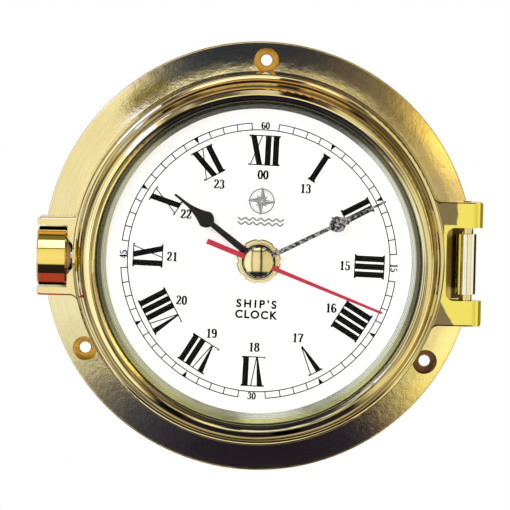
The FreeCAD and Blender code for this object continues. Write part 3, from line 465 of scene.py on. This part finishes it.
INK = flecked("dial_ink", (0.001, 0.001, 0.001), (0.004, 0.004, 0.005), 0.5, 1500.0, specular=0.05)
INK_GREY = flecked("dial_ink_grey", (0.20, 0.20, 0.21), (0.26, 0.26, 0.27), 0.5, 1500.0, specular=0.1)

finish_nodes(brushed_brass("brass_brushed"), "base_flange")
finish_nodes(turned_brass("brass_turned"), "door_ring", "bezel_ring")
finish_nodes(polished_brass("brass_polished", reach=0.003), "hinge_pin", "hinge_spacers", "latch_keeper")
finish_nodes(polished_brass("brass_bright"), "second_hand_cap", "bush_nut")
finish_nodes(polished_brass("brass_worn", 0.05, bright=BRASS_WORN, deep=BRASS_WORN), "hinge_knuckle")
finish_nodes(wheel_brass("brass_lacquered"), "latch_wheel")
finish_nodes(polished_brass("brass_plain", 0.22, deep=BRASS_DEEP), "latch_bolt", "dial_retainer",
             "movement_bush", "seconds_wheel", "third_wheel", "centre_wheel", "cannon_pinion",
             "minute_wheel", "hour_wheel", "battery_contact_plus")
finish_nodes(flecked("steel_plated", (0.52, 0.52, 0.50), (0.66, 0.66, 0.64), 0.28, 700.0, 1.0, 0.1),
             "knuckle_screws", "keeper_screws", "battery_contact_minus", "quartz_crystal", "motor_stator")
finish_nodes(flecked("rubber_black", (0.012, 0.012, 0.012), (0.03, 0.03, 0.03), 0.6, 900.0, 0.0, 0.2),
             "door_seal", "glass_gasket", "bush_cushion")
finish_nodes(clear_glass(), "glass")
finish_nodes(ribbed_silver("silver_ribbed"), "rehaut")
finish_nodes(flecked("dial_enamel", (0.91, 0.91, 0.92), (0.94, 0.94, 0.95), 0.42, 400.0), "dial_plate")
finish_nodes(flecked("hand_black", (0.004, 0.004, 0.004), (0.009, 0.008, 0.008), 0.25, 900.0, specular=0.15),
             "hour_hand", "dial_washer", "alarm_hand")
finish_nodes(flecked("hand_specked", (0.002, 0.002, 0.002), (0.30, 0.30, 0.31), 0.4, 1250.0,
                     specular=0.1, edge=0.03), "minute_hand")
finish_nodes(flecked("hand_red", (0.36, 0.010, 0.035), (0.44, 0.02, 0.05), 0.35, 800.0, specular=0.25),
             "second_hand")
finish_nodes(flecked("case_plastic", (0.018, 0.018, 0.02), (0.034, 0.034, 0.036), 0.48, 1600.0, 0.0, 0.25),
             "movement_front_case", "movement_rear_case", "train_bridge", "buzzer", "control_chip")
finish_nodes(flecked("board_resist", (0.02, 0.11, 0.04), (0.03, 0.17, 0.06), 0.3, 500.0), "circuit_board")
finish_nodes(coil_wire(), "motor_coil")
finish_nodes(flecked("gear_acetal", (0.70, 0.69, 0.62), (0.80, 0.79, 0.73), 0.4, 600.0),
             "motor_rotor", "fifth_wheel", "alarm_wheel", "time_set_pinion", "alarm_set_gear")
finish_nodes(flecked("knob_plastic", (0.08, 0.08, 0.085), (0.14, 0.14, 0.145), 0.45, 1400.0, 0.0, 0.2),
             "time_set_knob", "alarm_set_knob", "alarm_switch")
finish_nodes(battery_sleeve(), "battery")


# ---------------------------------------------------------------- dial print

DOT_SIDES = 14


def arc(cu, cv, ru, rv, start, end, steps=20):
    """Points along an ellipse about (cu, cv) with half widths ru and rv, between angles in degrees."""
    turns = [math.radians(start + (end - start) * step / steps) for step in range(steps + 1)]
    return [(cu + ru * math.cos(t), cv + rv * math.sin(t)) for t in turns]


def is_closed(points):
    return math.dist(points[0], points[-1]) < 1e-6


class Print:
    """Collects flat inked shapes on the dial, in millimetres with u across and v up, as one mesh."""

    def __init__(self):
        self.mesh = bmesh.new()
        self.place = Matrix.Identity(3)

    def aim(self, degrees, radius, upright=0.0):
        """Put the origin at radius from the centre at a clock angle, with up turned by upright."""
        angle = math.radians(degrees + DIAL_TURN)
        centre = Matrix(((1, 0, radius * math.sin(angle)), (0, 1, radius * math.cos(angle)), (0, 0, 1)))
        turn = math.radians(upright + DIAL_TURN)
        cos, sin = math.cos(turn), math.sin(turn)
        self.place = centre @ Matrix(((cos, sin, 0), (-sin, cos, 0), (0, 0, 1)))

    def shift(self, v):
        """Move the origin up by v in its own directions."""
        self.place = self.place @ Matrix(((1, 0, 0), (0, 1, v), (0, 0, 1)))

    def point(self, u, v):
        return self.place @ Vector((u, v, 1.0))

    def layer(self, points, depth):
        """Mesh corners at these points of the dial, at one depth."""
        return [self.mesh.verts.new((p.x * MM, depth, p.y * MM)) for p in points]

    def polygon(self, *corners):
        """A flat filled shape with this outline."""
        placed = [self.point(u, v) for u, v in corners]
        area = sum(a.x * b.y - b.x * a.y for a, b in zip(placed, placed[1:] + placed[:1]))
        if area < 0:
            placed.reverse()
        low = self.layer(placed, DIAL_FACE - INK_LIFT)
        high = self.layer(placed, DIAL_FACE - INK_LIFT - INK_THICK)
        self.mesh.faces.new(high)
        self.mesh.faces.new(low[::-1])
        for index in range(len(placed)):
            after = (index + 1) % len(placed)
            self.mesh.faces.new((low[index], low[after], high[after], high[index]))

    def ribbon(self, centres, halves):
        """A stroke of changing width along a smooth line; it may be closed."""
        closed = is_closed(centres)
        if closed:
            centres = centres[:-1]
            halves = halves[:-1]
        count = len(centres)
        left, right = [], []
        for index, (u, v) in enumerate(centres):
            before = centres[index - 1] if closed or index else centres[0]
            after = centres[(index + 1) % count] if closed or index < count - 1 else centres[-1]
            du, dv = after[0] - before[0], after[1] - before[1]
            size = math.hypot(du, dv)
            half = halves[index]
            left.append(self.point(u - dv / size * half, v + du / size * half))
            right.append(self.point(u + dv / size * half, v - du / size * half))
        rows = []
        for depth in (DIAL_FACE - INK_LIFT, DIAL_FACE - INK_LIFT - INK_THICK):
            rows.append((self.layer(left, depth), self.layer(right, depth)))
        (low_l, low_r), (high_l, high_r) = rows
        last = count if closed else count - 1
        for index in range(last):
            after = (index + 1) % count
            self.mesh.faces.new((high_l[index], high_r[index], high_r[after], high_l[after]))
            self.mesh.faces.new((low_l[after], low_r[after], low_r[index], low_l[index]))
            self.mesh.faces.new((high_l[after], low_l[after], low_l[index], high_l[index]))
            self.mesh.faces.new((high_r[index], low_r[index], low_r[after], high_r[after]))
        if not closed:
            self.mesh.faces.new((high_l[0], low_l[0], low_r[0], high_r[0]))
            self.mesh.faces.new((high_r[-1], low_r[-1], low_l[-1], high_l[-1]))

    def line(self, start, end, width):
        self.ribbon([start, end], [width / 2, width / 2])

    def dot(self, u, v, radius):
        self.polygon(*arc(u, v, radius, radius, 0, 360, DOT_SIDES)[:-1])

    def finish(self, name, material, body="door"):
        bmesh.ops.recalc_face_normals(self.mesh, faces=self.mesh.faces)
        data = bpy.data.meshes.new(name)
        self.mesh.to_mesh(data)
        self.mesh.free()
        data.materials.append(material)
        piece = bpy.data.objects.new(name, data)
        bpy.context.scene.collection.objects.link(piece)
        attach(piece, body)


TRACK_INNER = 45.1
TRACK_OUTER = 47.4
TRACK_LINE = 0.36
TRACK_ARROW = 0.78
GAP_HALF = 5.75


def minute_track():
    """Railway track of one box a minute, broken by numerals at the quarters."""
    ink = Print()
    ink.aim(0, 0)
    circle = arc(0, 0, TRACK_INNER, TRACK_INNER, 0, 360, 240)
    ink.ribbon(circle, [TRACK_LINE / 2] * len(circle))
    for quarter in range(4):
        ink.aim(0, 0)
        start = 90 * quarter + GAP_HALF
        stretch = arc(0, 0, TRACK_OUTER, TRACK_OUTER, start, start + 90 - 2 * GAP_HALF, 60)
        ink.ribbon(stretch, [TRACK_LINE / 2] * len(stretch))
        for side in (-GAP_HALF, GAP_HALF):
            ink.aim(90 * quarter + side, 0, 90 * quarter + side)
            ink.line((0, TRACK_INNER), (0, TRACK_OUTER + TRACK_LINE / 2), TRACK_LINE)
    for minute in range(60):
        angle = 6 * minute
        if min(angle % 90, 90 - angle % 90) < GAP_HALF + 1:
            continue
        ink.aim(angle, 0, angle)
        if minute % 5 == 0:
            ink.polygon((0, TRACK_INNER), (TRACK_ARROW, TRACK_OUTER), (-TRACK_ARROW, TRACK_OUTER))
        else:
            ink.line((0, TRACK_INNER), (0, TRACK_OUTER), TRACK_LINE)
    ink.finish("minute_track", INK)


NUMERAL_LOW = 32.9
NUMERAL_HIGH = 43.3
STEM = 2.0
STEM_GAP = 0.72
HAIR = 0.38
SERIF = 0.5
FLARE = 0.45
LETTER_WIDTHS = {"I": STEM, "V": 4.4, "X": 4.5}


def roman(ink, text):
    """Roman numeral with thick and hairline strokes, centred, standing from v = 0."""
    height = NUMERAL_HIGH - NUMERAL_LOW
    total = sum(LETTER_WIDTHS[letter] for letter in text) + STEM_GAP * (len(text) - 1)
    u = -total / 2
    for letter in text:
        width = LETTER_WIDTHS[letter]
        if letter == "I":
            ink.polygon((u, 0), (u + STEM, 0), (u + STEM, height), (u, height))
        if letter == "V":
            middle = u + width / 2
            ink.polygon((u, height), (u + STEM, height), (middle + 0.35, 0), (middle - 0.1, 0))
            ink.polygon((u + width - 0.1, height), (u + width - 0.1 - HAIR, height),
                        (middle + 0.1, 0), (middle + 0.1 + HAIR, 0))
        if letter == "X":
            ink.polygon((u, height), (u + STEM, height), (u + width, 0), (u + width - STEM, 0))
            ink.polygon((u + width - 0.15, height), (u + width - 0.15 - HAIR, height),
                        (u + 0.1, 0), (u + 0.1 + HAIR, 0))
        u += width + STEM_GAP
    half = total / 2 + SERIF
    ink.polygon((-half, height - HAIR), (half, height - HAIR), (half, height), (-half, height))
    flares = [(height - HAIR, -FLARE)]
    if text != "V":
        ink.polygon((-half, 0), (half, 0), (half, HAIR), (-half, HAIR))
        flares.append((HAIR, FLARE))
    for side in (-1, 1):
        for foot, rise in flares:
            ink.polygon((side * half, foot), (side * total / 2, foot), (side * total / 2, foot + rise))


def hour_numerals():
    ink = Print()
    hours = ("XII", "I", "II", "III", "IIII", "V", "VI", "VII", "VIII", "IX", "X", "XI")
    for hour, text in enumerate(hours):
        ink.aim(30 * hour, NUMERAL_LOW, 30 * hour)
        roman(ink, text)
    ink.finish("hour_numerals", INK)


# The digits are drawn one unit high.
THIN = 0.11
THICK = 0.23
BALL = 0.085
DIGIT_STEP = 0.62


def pen(ink, centres, scale, offset):
    """A broad-pen stroke: thick where it runs upright, thin where it runs across."""
    placed = [(offset + u * scale, v * scale) for u, v in centres]
    halves = []
    count = len(placed)
    for index in range(count):
        before = placed[max(index - 1, 0)]
        after = placed[min(index + 1, count - 1)]
        if is_closed(placed) and index in (0, count - 1):
            before, after = placed[-2], placed[1]
        size = math.dist(before, after)
        upright = abs(after[1] - before[1]) / size
        halves.append(0.5 * scale * (THIN + (THICK - THIN) * upright ** 1.6))
    ink.ribbon(placed, halves)


def digit(ink, value, scale, offset):
    """One digit of the given height, its left edge at offset."""
    def stroke(centres):
        pen(ink, centres, scale, offset)

    def bar(u0, v0, u1, v1, width):
        ink.line((offset + u0 * scale, v0 * scale), (offset + u1 * scale, v1 * scale), width * scale)

    def ball(u, v):
        ink.dot(offset + u * scale, v * scale, BALL * scale)

    if value == 0:
        stroke(arc(0.30, 0.5, 0.20, 0.465, 90, 450, 28))
    if value == 1:
        bar(0.32, 0.0, 0.32, 1.0, THICK)
        bar(0.12, 0.84, 0.33, 0.97, THIN)
        bar(0.12, 0.02, 0.52, 0.02, THIN)
    if value == 2:
        stroke(arc(0.28, 0.73, 0.19, 0.235, 150, -25) + [(0.34, 0.42), (0.18, 0.22), (0.07, 0.05)])
        bar(0.06, 0.07, 0.50, 0.07, 0.13)
        bar(0.50, 0.05, 0.55, 0.27, THIN)
        ball(0.13, 0.77)
    if value == 3:
        stroke(arc(0.26, 0.75, 0.18, 0.215, 145, -85))
        stroke(arc(0.25, 0.275, 0.22, 0.25, 85, -145))
        ball(0.12, 0.83)
        ball(0.10, 0.18)
    if value == 4:
        bar(0.38, 0.98, 0.05, 0.29, THIN)
        bar(0.04, 0.29, 0.58, 0.29, THIN)
        bar(0.40, 0.0, 0.40, 1.0, THICK)
        bar(0.24, 0.02, 0.56, 0.02, THIN)
    if value == 5:
        bar(0.12, 0.98, 0.12, 0.50, THIN)
        bar(0.10, 0.92, 0.48, 0.92, 0.13)
        stroke(arc(0.26, 0.30, 0.22, 0.275, 130, -145))
        ball(0.10, 0.17)
    if value == 6:
        stroke(arc(0.33, 0.5, 0.235, 0.465, 70, 270))
        stroke(arc(0.32, 0.29, 0.19, 0.255, 90, 450, 26))
        ball(0.45, 0.85)
    if value == 7:
        bar(0.06, 0.92, 0.54, 0.92, 0.14)
        stroke([(0.54, 0.92), (0.42, 0.62), (0.31, 0.38), (0.27, 0.0)])
        bar(0.07, 0.76, 0.07, 0.97, THIN)
    if value == 8:
        stroke(arc(0.30, 0.75, 0.165, 0.215, 90, 450, 26))
        stroke(arc(0.30, 0.275, 0.205, 0.245, 90, 450, 26))
    if value == 9:
        stroke(arc(0.27, 0.5, 0.235, 0.465, 250, 450))
        stroke(arc(0.28, 0.71, 0.19, 0.255, 90, 450, 26))
        ball(0.15, 0.15)


def number(ink, text, height):
    """Digits side by side, centred on the origin."""
    ink.shift(-height / 2)
    width = DIGIT_STEP * height * len(text)
    for index, character in enumerate(text):
        offset = -width / 2 + index * DIGIT_STEP * height
        digit(ink, int(character), height, offset)


AFTERNOON_AT = 29.7
AFTERNOON_HEIGHT = 3.1
MINUTE_AT = 46.6
MINUTE_HEIGHT = 2.4


def small_numerals():
    """The hours 00 and 13 to 23 inside the Roman ones, and 60, 15, 30 and 45 in the minute track."""
    ink = Print()
    for hour in range(12):
        ink.aim(30 * hour, AFTERNOON_AT, 0)
        number(ink, "00" if hour == 0 else str(12 + hour), AFTERNOON_HEIGHT)
    for minute, turn in ((60, 0), (15, 90), (30, 0), (45, -90)):
        ink.aim(6 * minute, MINUTE_AT, turn)
        number(ink, str(minute), MINUTE_HEIGHT)
    ink.finish("small_numerals", INK)


ROSE_AT = 20.6
ROSE_R = 4.2


def compass_rose():
    """Eight-pointed rose inside a ring."""
    ink = Print()
    for step in range(8):
        long_point = step % 2 == 0
        reach = ROSE_R * (1.25 if long_point else 0.72)
        half = 1.25 if long_point else 0.8
        for side in (-1, 1):
            ink.aim(0, ROSE_AT, 45 * step)
            shade = half if side > 0 else half * 0.45
            ink.polygon((side * 0.04, 0.1), (side * shade, half * 1.15), (side * 0.04, reach))
    ink.aim(0, ROSE_AT)
    for radius, width in ((ROSE_R, 0.50), (ROSE_R - 0.65, 0.14)):
        ring = arc(0, 0, radius, radius, 0, 360, 72)
        ink.ribbon(ring, [width / 2] * len(ring))
    ink.finish("compass_rose", INK_GREY)


SEA_LEVELS = (14.3, 12.8)
SEA_HALF = 8.0
WAVE_LENGTH = 2.667
WAVE_HEIGHT = 0.42
WAVE_LINE = 0.64
WAVE_STEPS = 64


def sea_lines():
    """Two rows of waves under the rose."""
    ink = Print()
    ink.aim(0, 0)
    for level in SEA_LEVELS:
        across = [SEA_HALF * (2 * step / WAVE_STEPS - 1) for step in range(WAVE_STEPS + 1)]
        crest = [(u, level + WAVE_HEIGHT * math.cos(2 * math.pi * u / WAVE_LENGTH)) for u in across]
        ink.ribbon(crest, [WAVE_LINE / 2] * len(crest))
    ink.finish("sea_lines", INK_GREY)


# name, text, height of the line's foot above the dial's centre, spacing of the letters
WORDS = (("dial_word_top", "SHIP'S", -16.1, 1.42), ("dial_word_bottom", "CLOCK", -19.8, 1.2))
WORD_HEIGHT = 2.75
SIZE_PER_HEIGHT = 1.38
WORD_SWELL = 0.15


def dial_words():
    """Two short lines of plain capitals under the hands."""
    for name, text, v, spacing in WORDS:
        curve = bpy.data.curves.new(name, "FONT")
        curve.body = text
        curve.size = WORD_HEIGHT * SIZE_PER_HEIGHT * MM
        curve.align_x = "CENTER"
        curve.extrude = INK_THICK / 2
        curve.space_character = spacing
        curve.offset = WORD_SWELL * MM
        holder = bpy.data.objects.new(name + "_text", curve)
        bpy.context.scene.collection.objects.link(holder)
        bpy.context.view_layer.update()
        mesh = bpy.data.meshes.new_from_object(holder)
        bpy.data.objects.remove(holder)
        place = Matrix.Translation((0, DIAL_FACE - INK_LIFT - INK_THICK / 2, 0))
        turn = Matrix.Rotation(math.radians(DIAL_TURN), 4, "Y")
        upright = Matrix.Rotation(math.radians(90), 4, "X")
        mesh.transform(turn @ place @ Matrix.Translation((0, 0, v * MM)) @ upright)
        mesh.materials.clear()
        mesh.materials.append(INK)
        piece = bpy.data.objects.new(name, mesh)
        bpy.context.scene.collection.objects.link(piece)
        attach(piece, "door")


minute_track()
hour_numerals()
small_numerals()
compass_rose()
sea_lines()
dial_words()


# ---------------------------------------------------------------- studio

# What the metal sees, as (degrees, colour) stops. ELEVATIONS and AZIMUTHS describe the part
# of the studio in front of the clock. SIDES goes round the clock's edge, anticlockwise from
# the right: pale cards left and right, black cloth above and below. BEHIND is past the edge,
# PLAIN is what faces the back of the clock, and RIM_GLOW brightens SIDES towards the flange's rim.
ELEVATIONS = (
    (-60, rgb(0.02, 0.02, 0.03)), (-33, rgb(0.02, 0.02, 0.03)), (-29, rgb(0.95, 0.92, 0.82)),
    (0, rgb(1, 1, 1)), (28, rgb(0.9, 0.9, 0.85)), (29.5, rgb(0.10, 0.08, 0.06)),
    (32, rgb(0.10, 0.08, 0.06)), (33.5, rgb(1.7, 1.7, 1.7)), (45, rgb(1.7, 1.7, 1.7)),
    (50, rgb(0.04, 0.04, 0.04)), (60, rgb(0.04, 0.04, 0.04)))
AZIMUTHS = (
    (-26, rgb(1.3, 1.3, 1.25)), (-24, rgb(1.3, 1.3, 1.25)), (-22, rgb(0.35, 0.33, 0.3)),
    (-19, rgb(0.35, 0.33, 0.3)), (-17, rgb(1.05, 1.05, 1.0)), (4.2, rgb(1.0, 0.98, 0.9)),
    (5.0, rgb(0.06, 0.05, 0.04)), (10.5, rgb(0.06, 0.05, 0.04)),
    (13, rgb(0.9, 0.85, 0.66)), (20, rgb(0.9, 0.85, 0.66)))
SIDES = (
    (0, rgb(0.55, 0.45, 0.36)), (15, rgb(0.42, 0.35, 0.32)), (30, rgb(0.52, 0.46, 0.28)),
    (40, rgb(0.30, 0.23, 0.14)), (50, rgb(0.17, 0.14, 0.13)), (62, rgb(0.14, 0.12, 0.13)),
    (75, rgb(0.04, 0.045, 0.09)), (105, rgb(0.03, 0.04, 0.09)), (120, rgb(0.07, 0.08, 0.14)),
    (127, rgb(0.30, 0.30, 0.33)), (134, rgb(0.9, 0.9, 0.85)), (150, rgb(1.0, 1.0, 0.93)),
    (180, rgb(0.95, 0.98, 1.0)), (200, rgb(1.0, 1.08, 1.2)), (214, rgb(0.75, 0.78, 0.74)),
    (223, rgb(0.22, 0.22, 0.28)), (236, rgb(0.05, 0.055, 0.12)), (255, rgb(0.02, 0.018, 0.045)),
    (285, rgb(0.018, 0.016, 0.04)), (302, rgb(0.03, 0.028, 0.07)), (309, rgb(0.24, 0.20, 0.20)),
    (318, rgb(0.74, 0.68, 0.38)), (335, rgb(1.0, 1.0, 0.8)), (350, rgb(0.8, 0.75, 0.6)))
BEHIND = (
    (0, rgb(0.10, 0.09, 0.07)), (50, rgb(0.12, 0.10, 0.08)), (70, rgb(0.75, 0.42, 0.14)),
    (110, rgb(0.75, 0.42, 0.14)), (140, rgb(0.5, 0.48, 0.44)), (210, rgb(0.5, 0.48, 0.44)),
    (250, rgb(0.60, 0.52, 0.34)), (290, rgb(0.60, 0.52, 0.34)), (320, rgb(0.30, 0.26, 0.16)))
PLAIN = rgb(0.75, 0.73, 0.66)
RIM_GLOW = (
    (0, rgb(1.3, 1.3, 1.2)), (12, rgb(1.9, 1.9, 1.5)), (26, rgb(3.2, 3.2, 2.1)), (38, rgb(3.0, 3.0, 2.0)),
    (48, rgb(1.7, 1.7, 1.3)), (60, rgb(1, 1, 1)), (112, rgb(1, 1, 1)), (124, rgb(2.2, 2.2, 2.0)),
    (140, rgb(1, 1, 1)), (300, rgb(1, 1, 1)), (320, rgb(1.4, 1.4, 1.2)), (345, rgb(1.3, 1.3, 1.2)))

# Where one part of the studio gives way to the next, in degrees from straight in front.
FRONT_ENDS = (46, 50)
GLOW_GROWS = (57, 74)
SIDES_END = (92, 98)
BEHIND_ENDS = (138, 150)


class Surroundings(Nodes):
    """The world's nodes, with the colours of the studio by angle."""

    def profile(self, radians, stops, low=0, high=360):
        """Colour from an angle, through stops given in degrees between low and high."""
        ramp = self.add("ShaderNodeValToRGB")
        elements = ramp.color_ramp.elements
        while len(elements) < len(stops):
            elements.new(0.5)
        for element, (degrees, colour) in zip(elements, stops):
            element.position = (degrees - low) / (high - low)
            element.color = colour
        past = self.maths("SUBTRACT", radians, math.radians(low))
        self.link(self.maths("DIVIDE", past, math.radians(high - low)), ramp.inputs["Fac"])
        return ramp.outputs["Color"]

    def step(self, radians, ends):
        """0 before these ends and 1 past them, both in degrees."""
        node = self.add("ShaderNodeMapRange", interpolation_type="SMOOTHSTEP")
        for key, degrees in zip(("From Min", "From Max"), ends):
            node.inputs[key].default_value = math.radians(degrees)
        self.link(radians, node.inputs["Value"])
        return node.outputs["Result"]

    def background(self, colour):
        node = self.add("ShaderNodeBackground")
        self.feed(colour, node.inputs["Color"])
        return node.outputs["Background"]


def world():
    """White to the camera; the metal sees the studio described above."""
    scene_world = bpy.data.worlds.new("studio")
    bpy.context.scene.world = scene_world
    scene_world.use_nodes = True
    scene_world.node_tree.nodes.clear()
    room = Surroundings(scene_world.node_tree)
    x, y, z = room.split(room.add("ShaderNodeTexCoord").outputs["Generated"])
    ahead = room.maths("MULTIPLY", y, -1.0)
    off_axis = room.maths("ARCCOSINE", ahead)
    left, down = room.maths("MULTIPLY", x, -1.0), room.maths("MULTIPLY", z, -1.0)
    round_edge = room.maths("ADD", room.maths("ARCTAN2", down, left), math.pi)
    height = room.profile(room.maths("ARCSINE", z), ELEVATIONS, -60, 60)
    bearing = room.profile(room.maths("ARCTAN2", x, ahead), AZIMUTHS, -26, 20)
    front = room.blend(1.0, height, bearing, "MULTIPLY")
    sides = room.profile(round_edge, SIDES)
    glow = room.blend(1.0, sides, room.profile(round_edge, RIM_GLOW), "MULTIPLY")
    sides = room.blend(room.step(off_axis, GLOW_GROWS), sides, glow)
    seen = room.blend(room.step(off_axis, FRONT_ENDS), front, sides)
    seen = room.blend(room.step(off_axis, SIDES_END), seen, room.profile(round_edge, BEHIND))
    seen = room.blend(room.step(off_axis, BEHIND_ENDS), seen, PLAIN)
    mix = room.add("ShaderNodeMixShader")
    room.link(room.add("ShaderNodeLightPath").outputs["Is Camera Ray"], mix.inputs["Fac"])
    room.link(room.background(seen), mix.inputs[1])
    room.link(room.background(rgb(1, 1, 1)), mix.inputs[2])
    output = room.add("ShaderNodeOutputWorld")
    room.link(mix.outputs["Shader"], output.inputs["Surface"])


def soft_light(name, place, size, power, shadow=True):
    """Round soft light aimed at the clock, left out of reflections."""
    data = bpy.data.lights.new(name, "AREA")
    data.shape = "DISK"
    data.size = size
    data.energy = power
    data.use_shadow = shadow
    light = bpy.data.objects.new(name, data)
    light.location = place
    light.rotation_euler = (-Vector(place)).to_track_quat("-Z", "Y").to_euler()
    light.visible_glossy = False
    bpy.context.scene.collection.objects.link(light)


def card(name, colour, corner, across, along):
    """Small card, in millimetres from one corner along two sides, that only polished metal sees."""
    corner, across, along = (Vector(value) * MM for value in (corner, across, along))
    corners = (corner, corner + across, corner + across + along, corner + along)
    data = bpy.data.meshes.new(name)
    data.from_pydata(corners, [], [(0, 1, 2, 3)])
    material = bpy.data.materials.new(name)
    material.use_nodes = True
    material.node_tree.nodes.clear()
    shine = Nodes(material.node_tree)
    glow = shine.add("ShaderNodeEmission")
    glow.inputs["Color"].default_value = colour
    output = shine.add("ShaderNodeOutputMaterial")
    shine.link(glow.outputs["Emission"], output.inputs["Surface"])
    data.materials.append(material)
    sheet = bpy.data.objects.new(name, data)
    for ray in ("camera", "diffuse", "transmission", "volume_scatter", "shadow"):
        setattr(sheet, "visible_" + ray, False)
    bpy.context.scene.collection.objects.link(sheet)


FLOOR_RADIUS = 1.5
FLOOR_DROP = 0.35


def floor():
    """Pale disc under the clock, left out of reflections."""
    data = bpy.data.meshes.new("floor")
    rim = arc(0, 0, FLOOR_RADIUS, FLOOR_RADIUS, 0, 360, 96)[:-1]
    data.from_pydata([(x, y, -FLOOR_DROP) for x, y in rim], [], [tuple(range(len(rim)))])
    data.materials.append(flecked("floor_pale", (0.80, 0.80, 0.79), (0.84, 0.84, 0.83), 0.8, 20.0))
    sheet = bpy.data.objects.new("floor", data)
    sheet.visible_glossy = False
    bpy.context.scene.collection.objects.link(sheet)


SENSOR = 36.0
CAMERA_TARGET = Vector((-0.0013, -0.004, 0.0006))
CAMERA_FAR = 1.5
CAMERA_RISE = 3.8
CAMERA_ROLL = 1.2
CAMERA_ANGLE = 6.783


def camera():
    """A long way off, a little above and a little rolled, with the clock across most of the frame."""
    data = bpy.data.cameras.new("camera")
    data.sensor_width = SENSOR
    data.lens = SENSOR / (2 * math.tan(math.radians(CAMERA_ANGLE / 2)))
    view = bpy.data.objects.new("camera", data)
    bpy.context.scene.collection.objects.link(view)
    rise = math.radians(CAMERA_RISE)
    view.location = CAMERA_TARGET + Vector((0, -math.cos(rise), math.sin(rise))) * CAMERA_FAR
    look = (CAMERA_TARGET - view.location).to_track_quat("-Z", "Y").to_matrix()
    roll = Matrix.Rotation(math.radians(CAMERA_ROLL), 3, "Z")
    view.rotation_euler = (look @ roll).to_euler()
    bpy.context.scene.camera = view


world()
soft_light("key_front", (-0.5, -1.6, 0.7), 0.9, 9.0)
soft_light("fill_front", (0.6, -1.5, -0.2), 1.2, 16.0, shadow=False)
soft_light("fill_back", (0.5, 1.6, 0.9), 0.9, 14.0)
card("card_white", rgb(1.5, 1.7, 3.6), (-100, -112, 63), (38, 0, 0), (0, 44, 36))
card("card_olive", rgb(0.22, 0.19, 0.07), (-100, -66, 100), (38, 0, 0), (0, 34, 8))
card("card_red", rgb(0.42, 0.07, 0.11), (-80, -31, -16), (13, 0, 0), (0, 12, 0))
card("card_black", rgb(0.01, 0.01, 0.01), (83, -20, -11), (0, 11, 0), (0, 0, 22))
floor()
camera()

bpy.context.scene.view_settings.view_transform = "Standard"
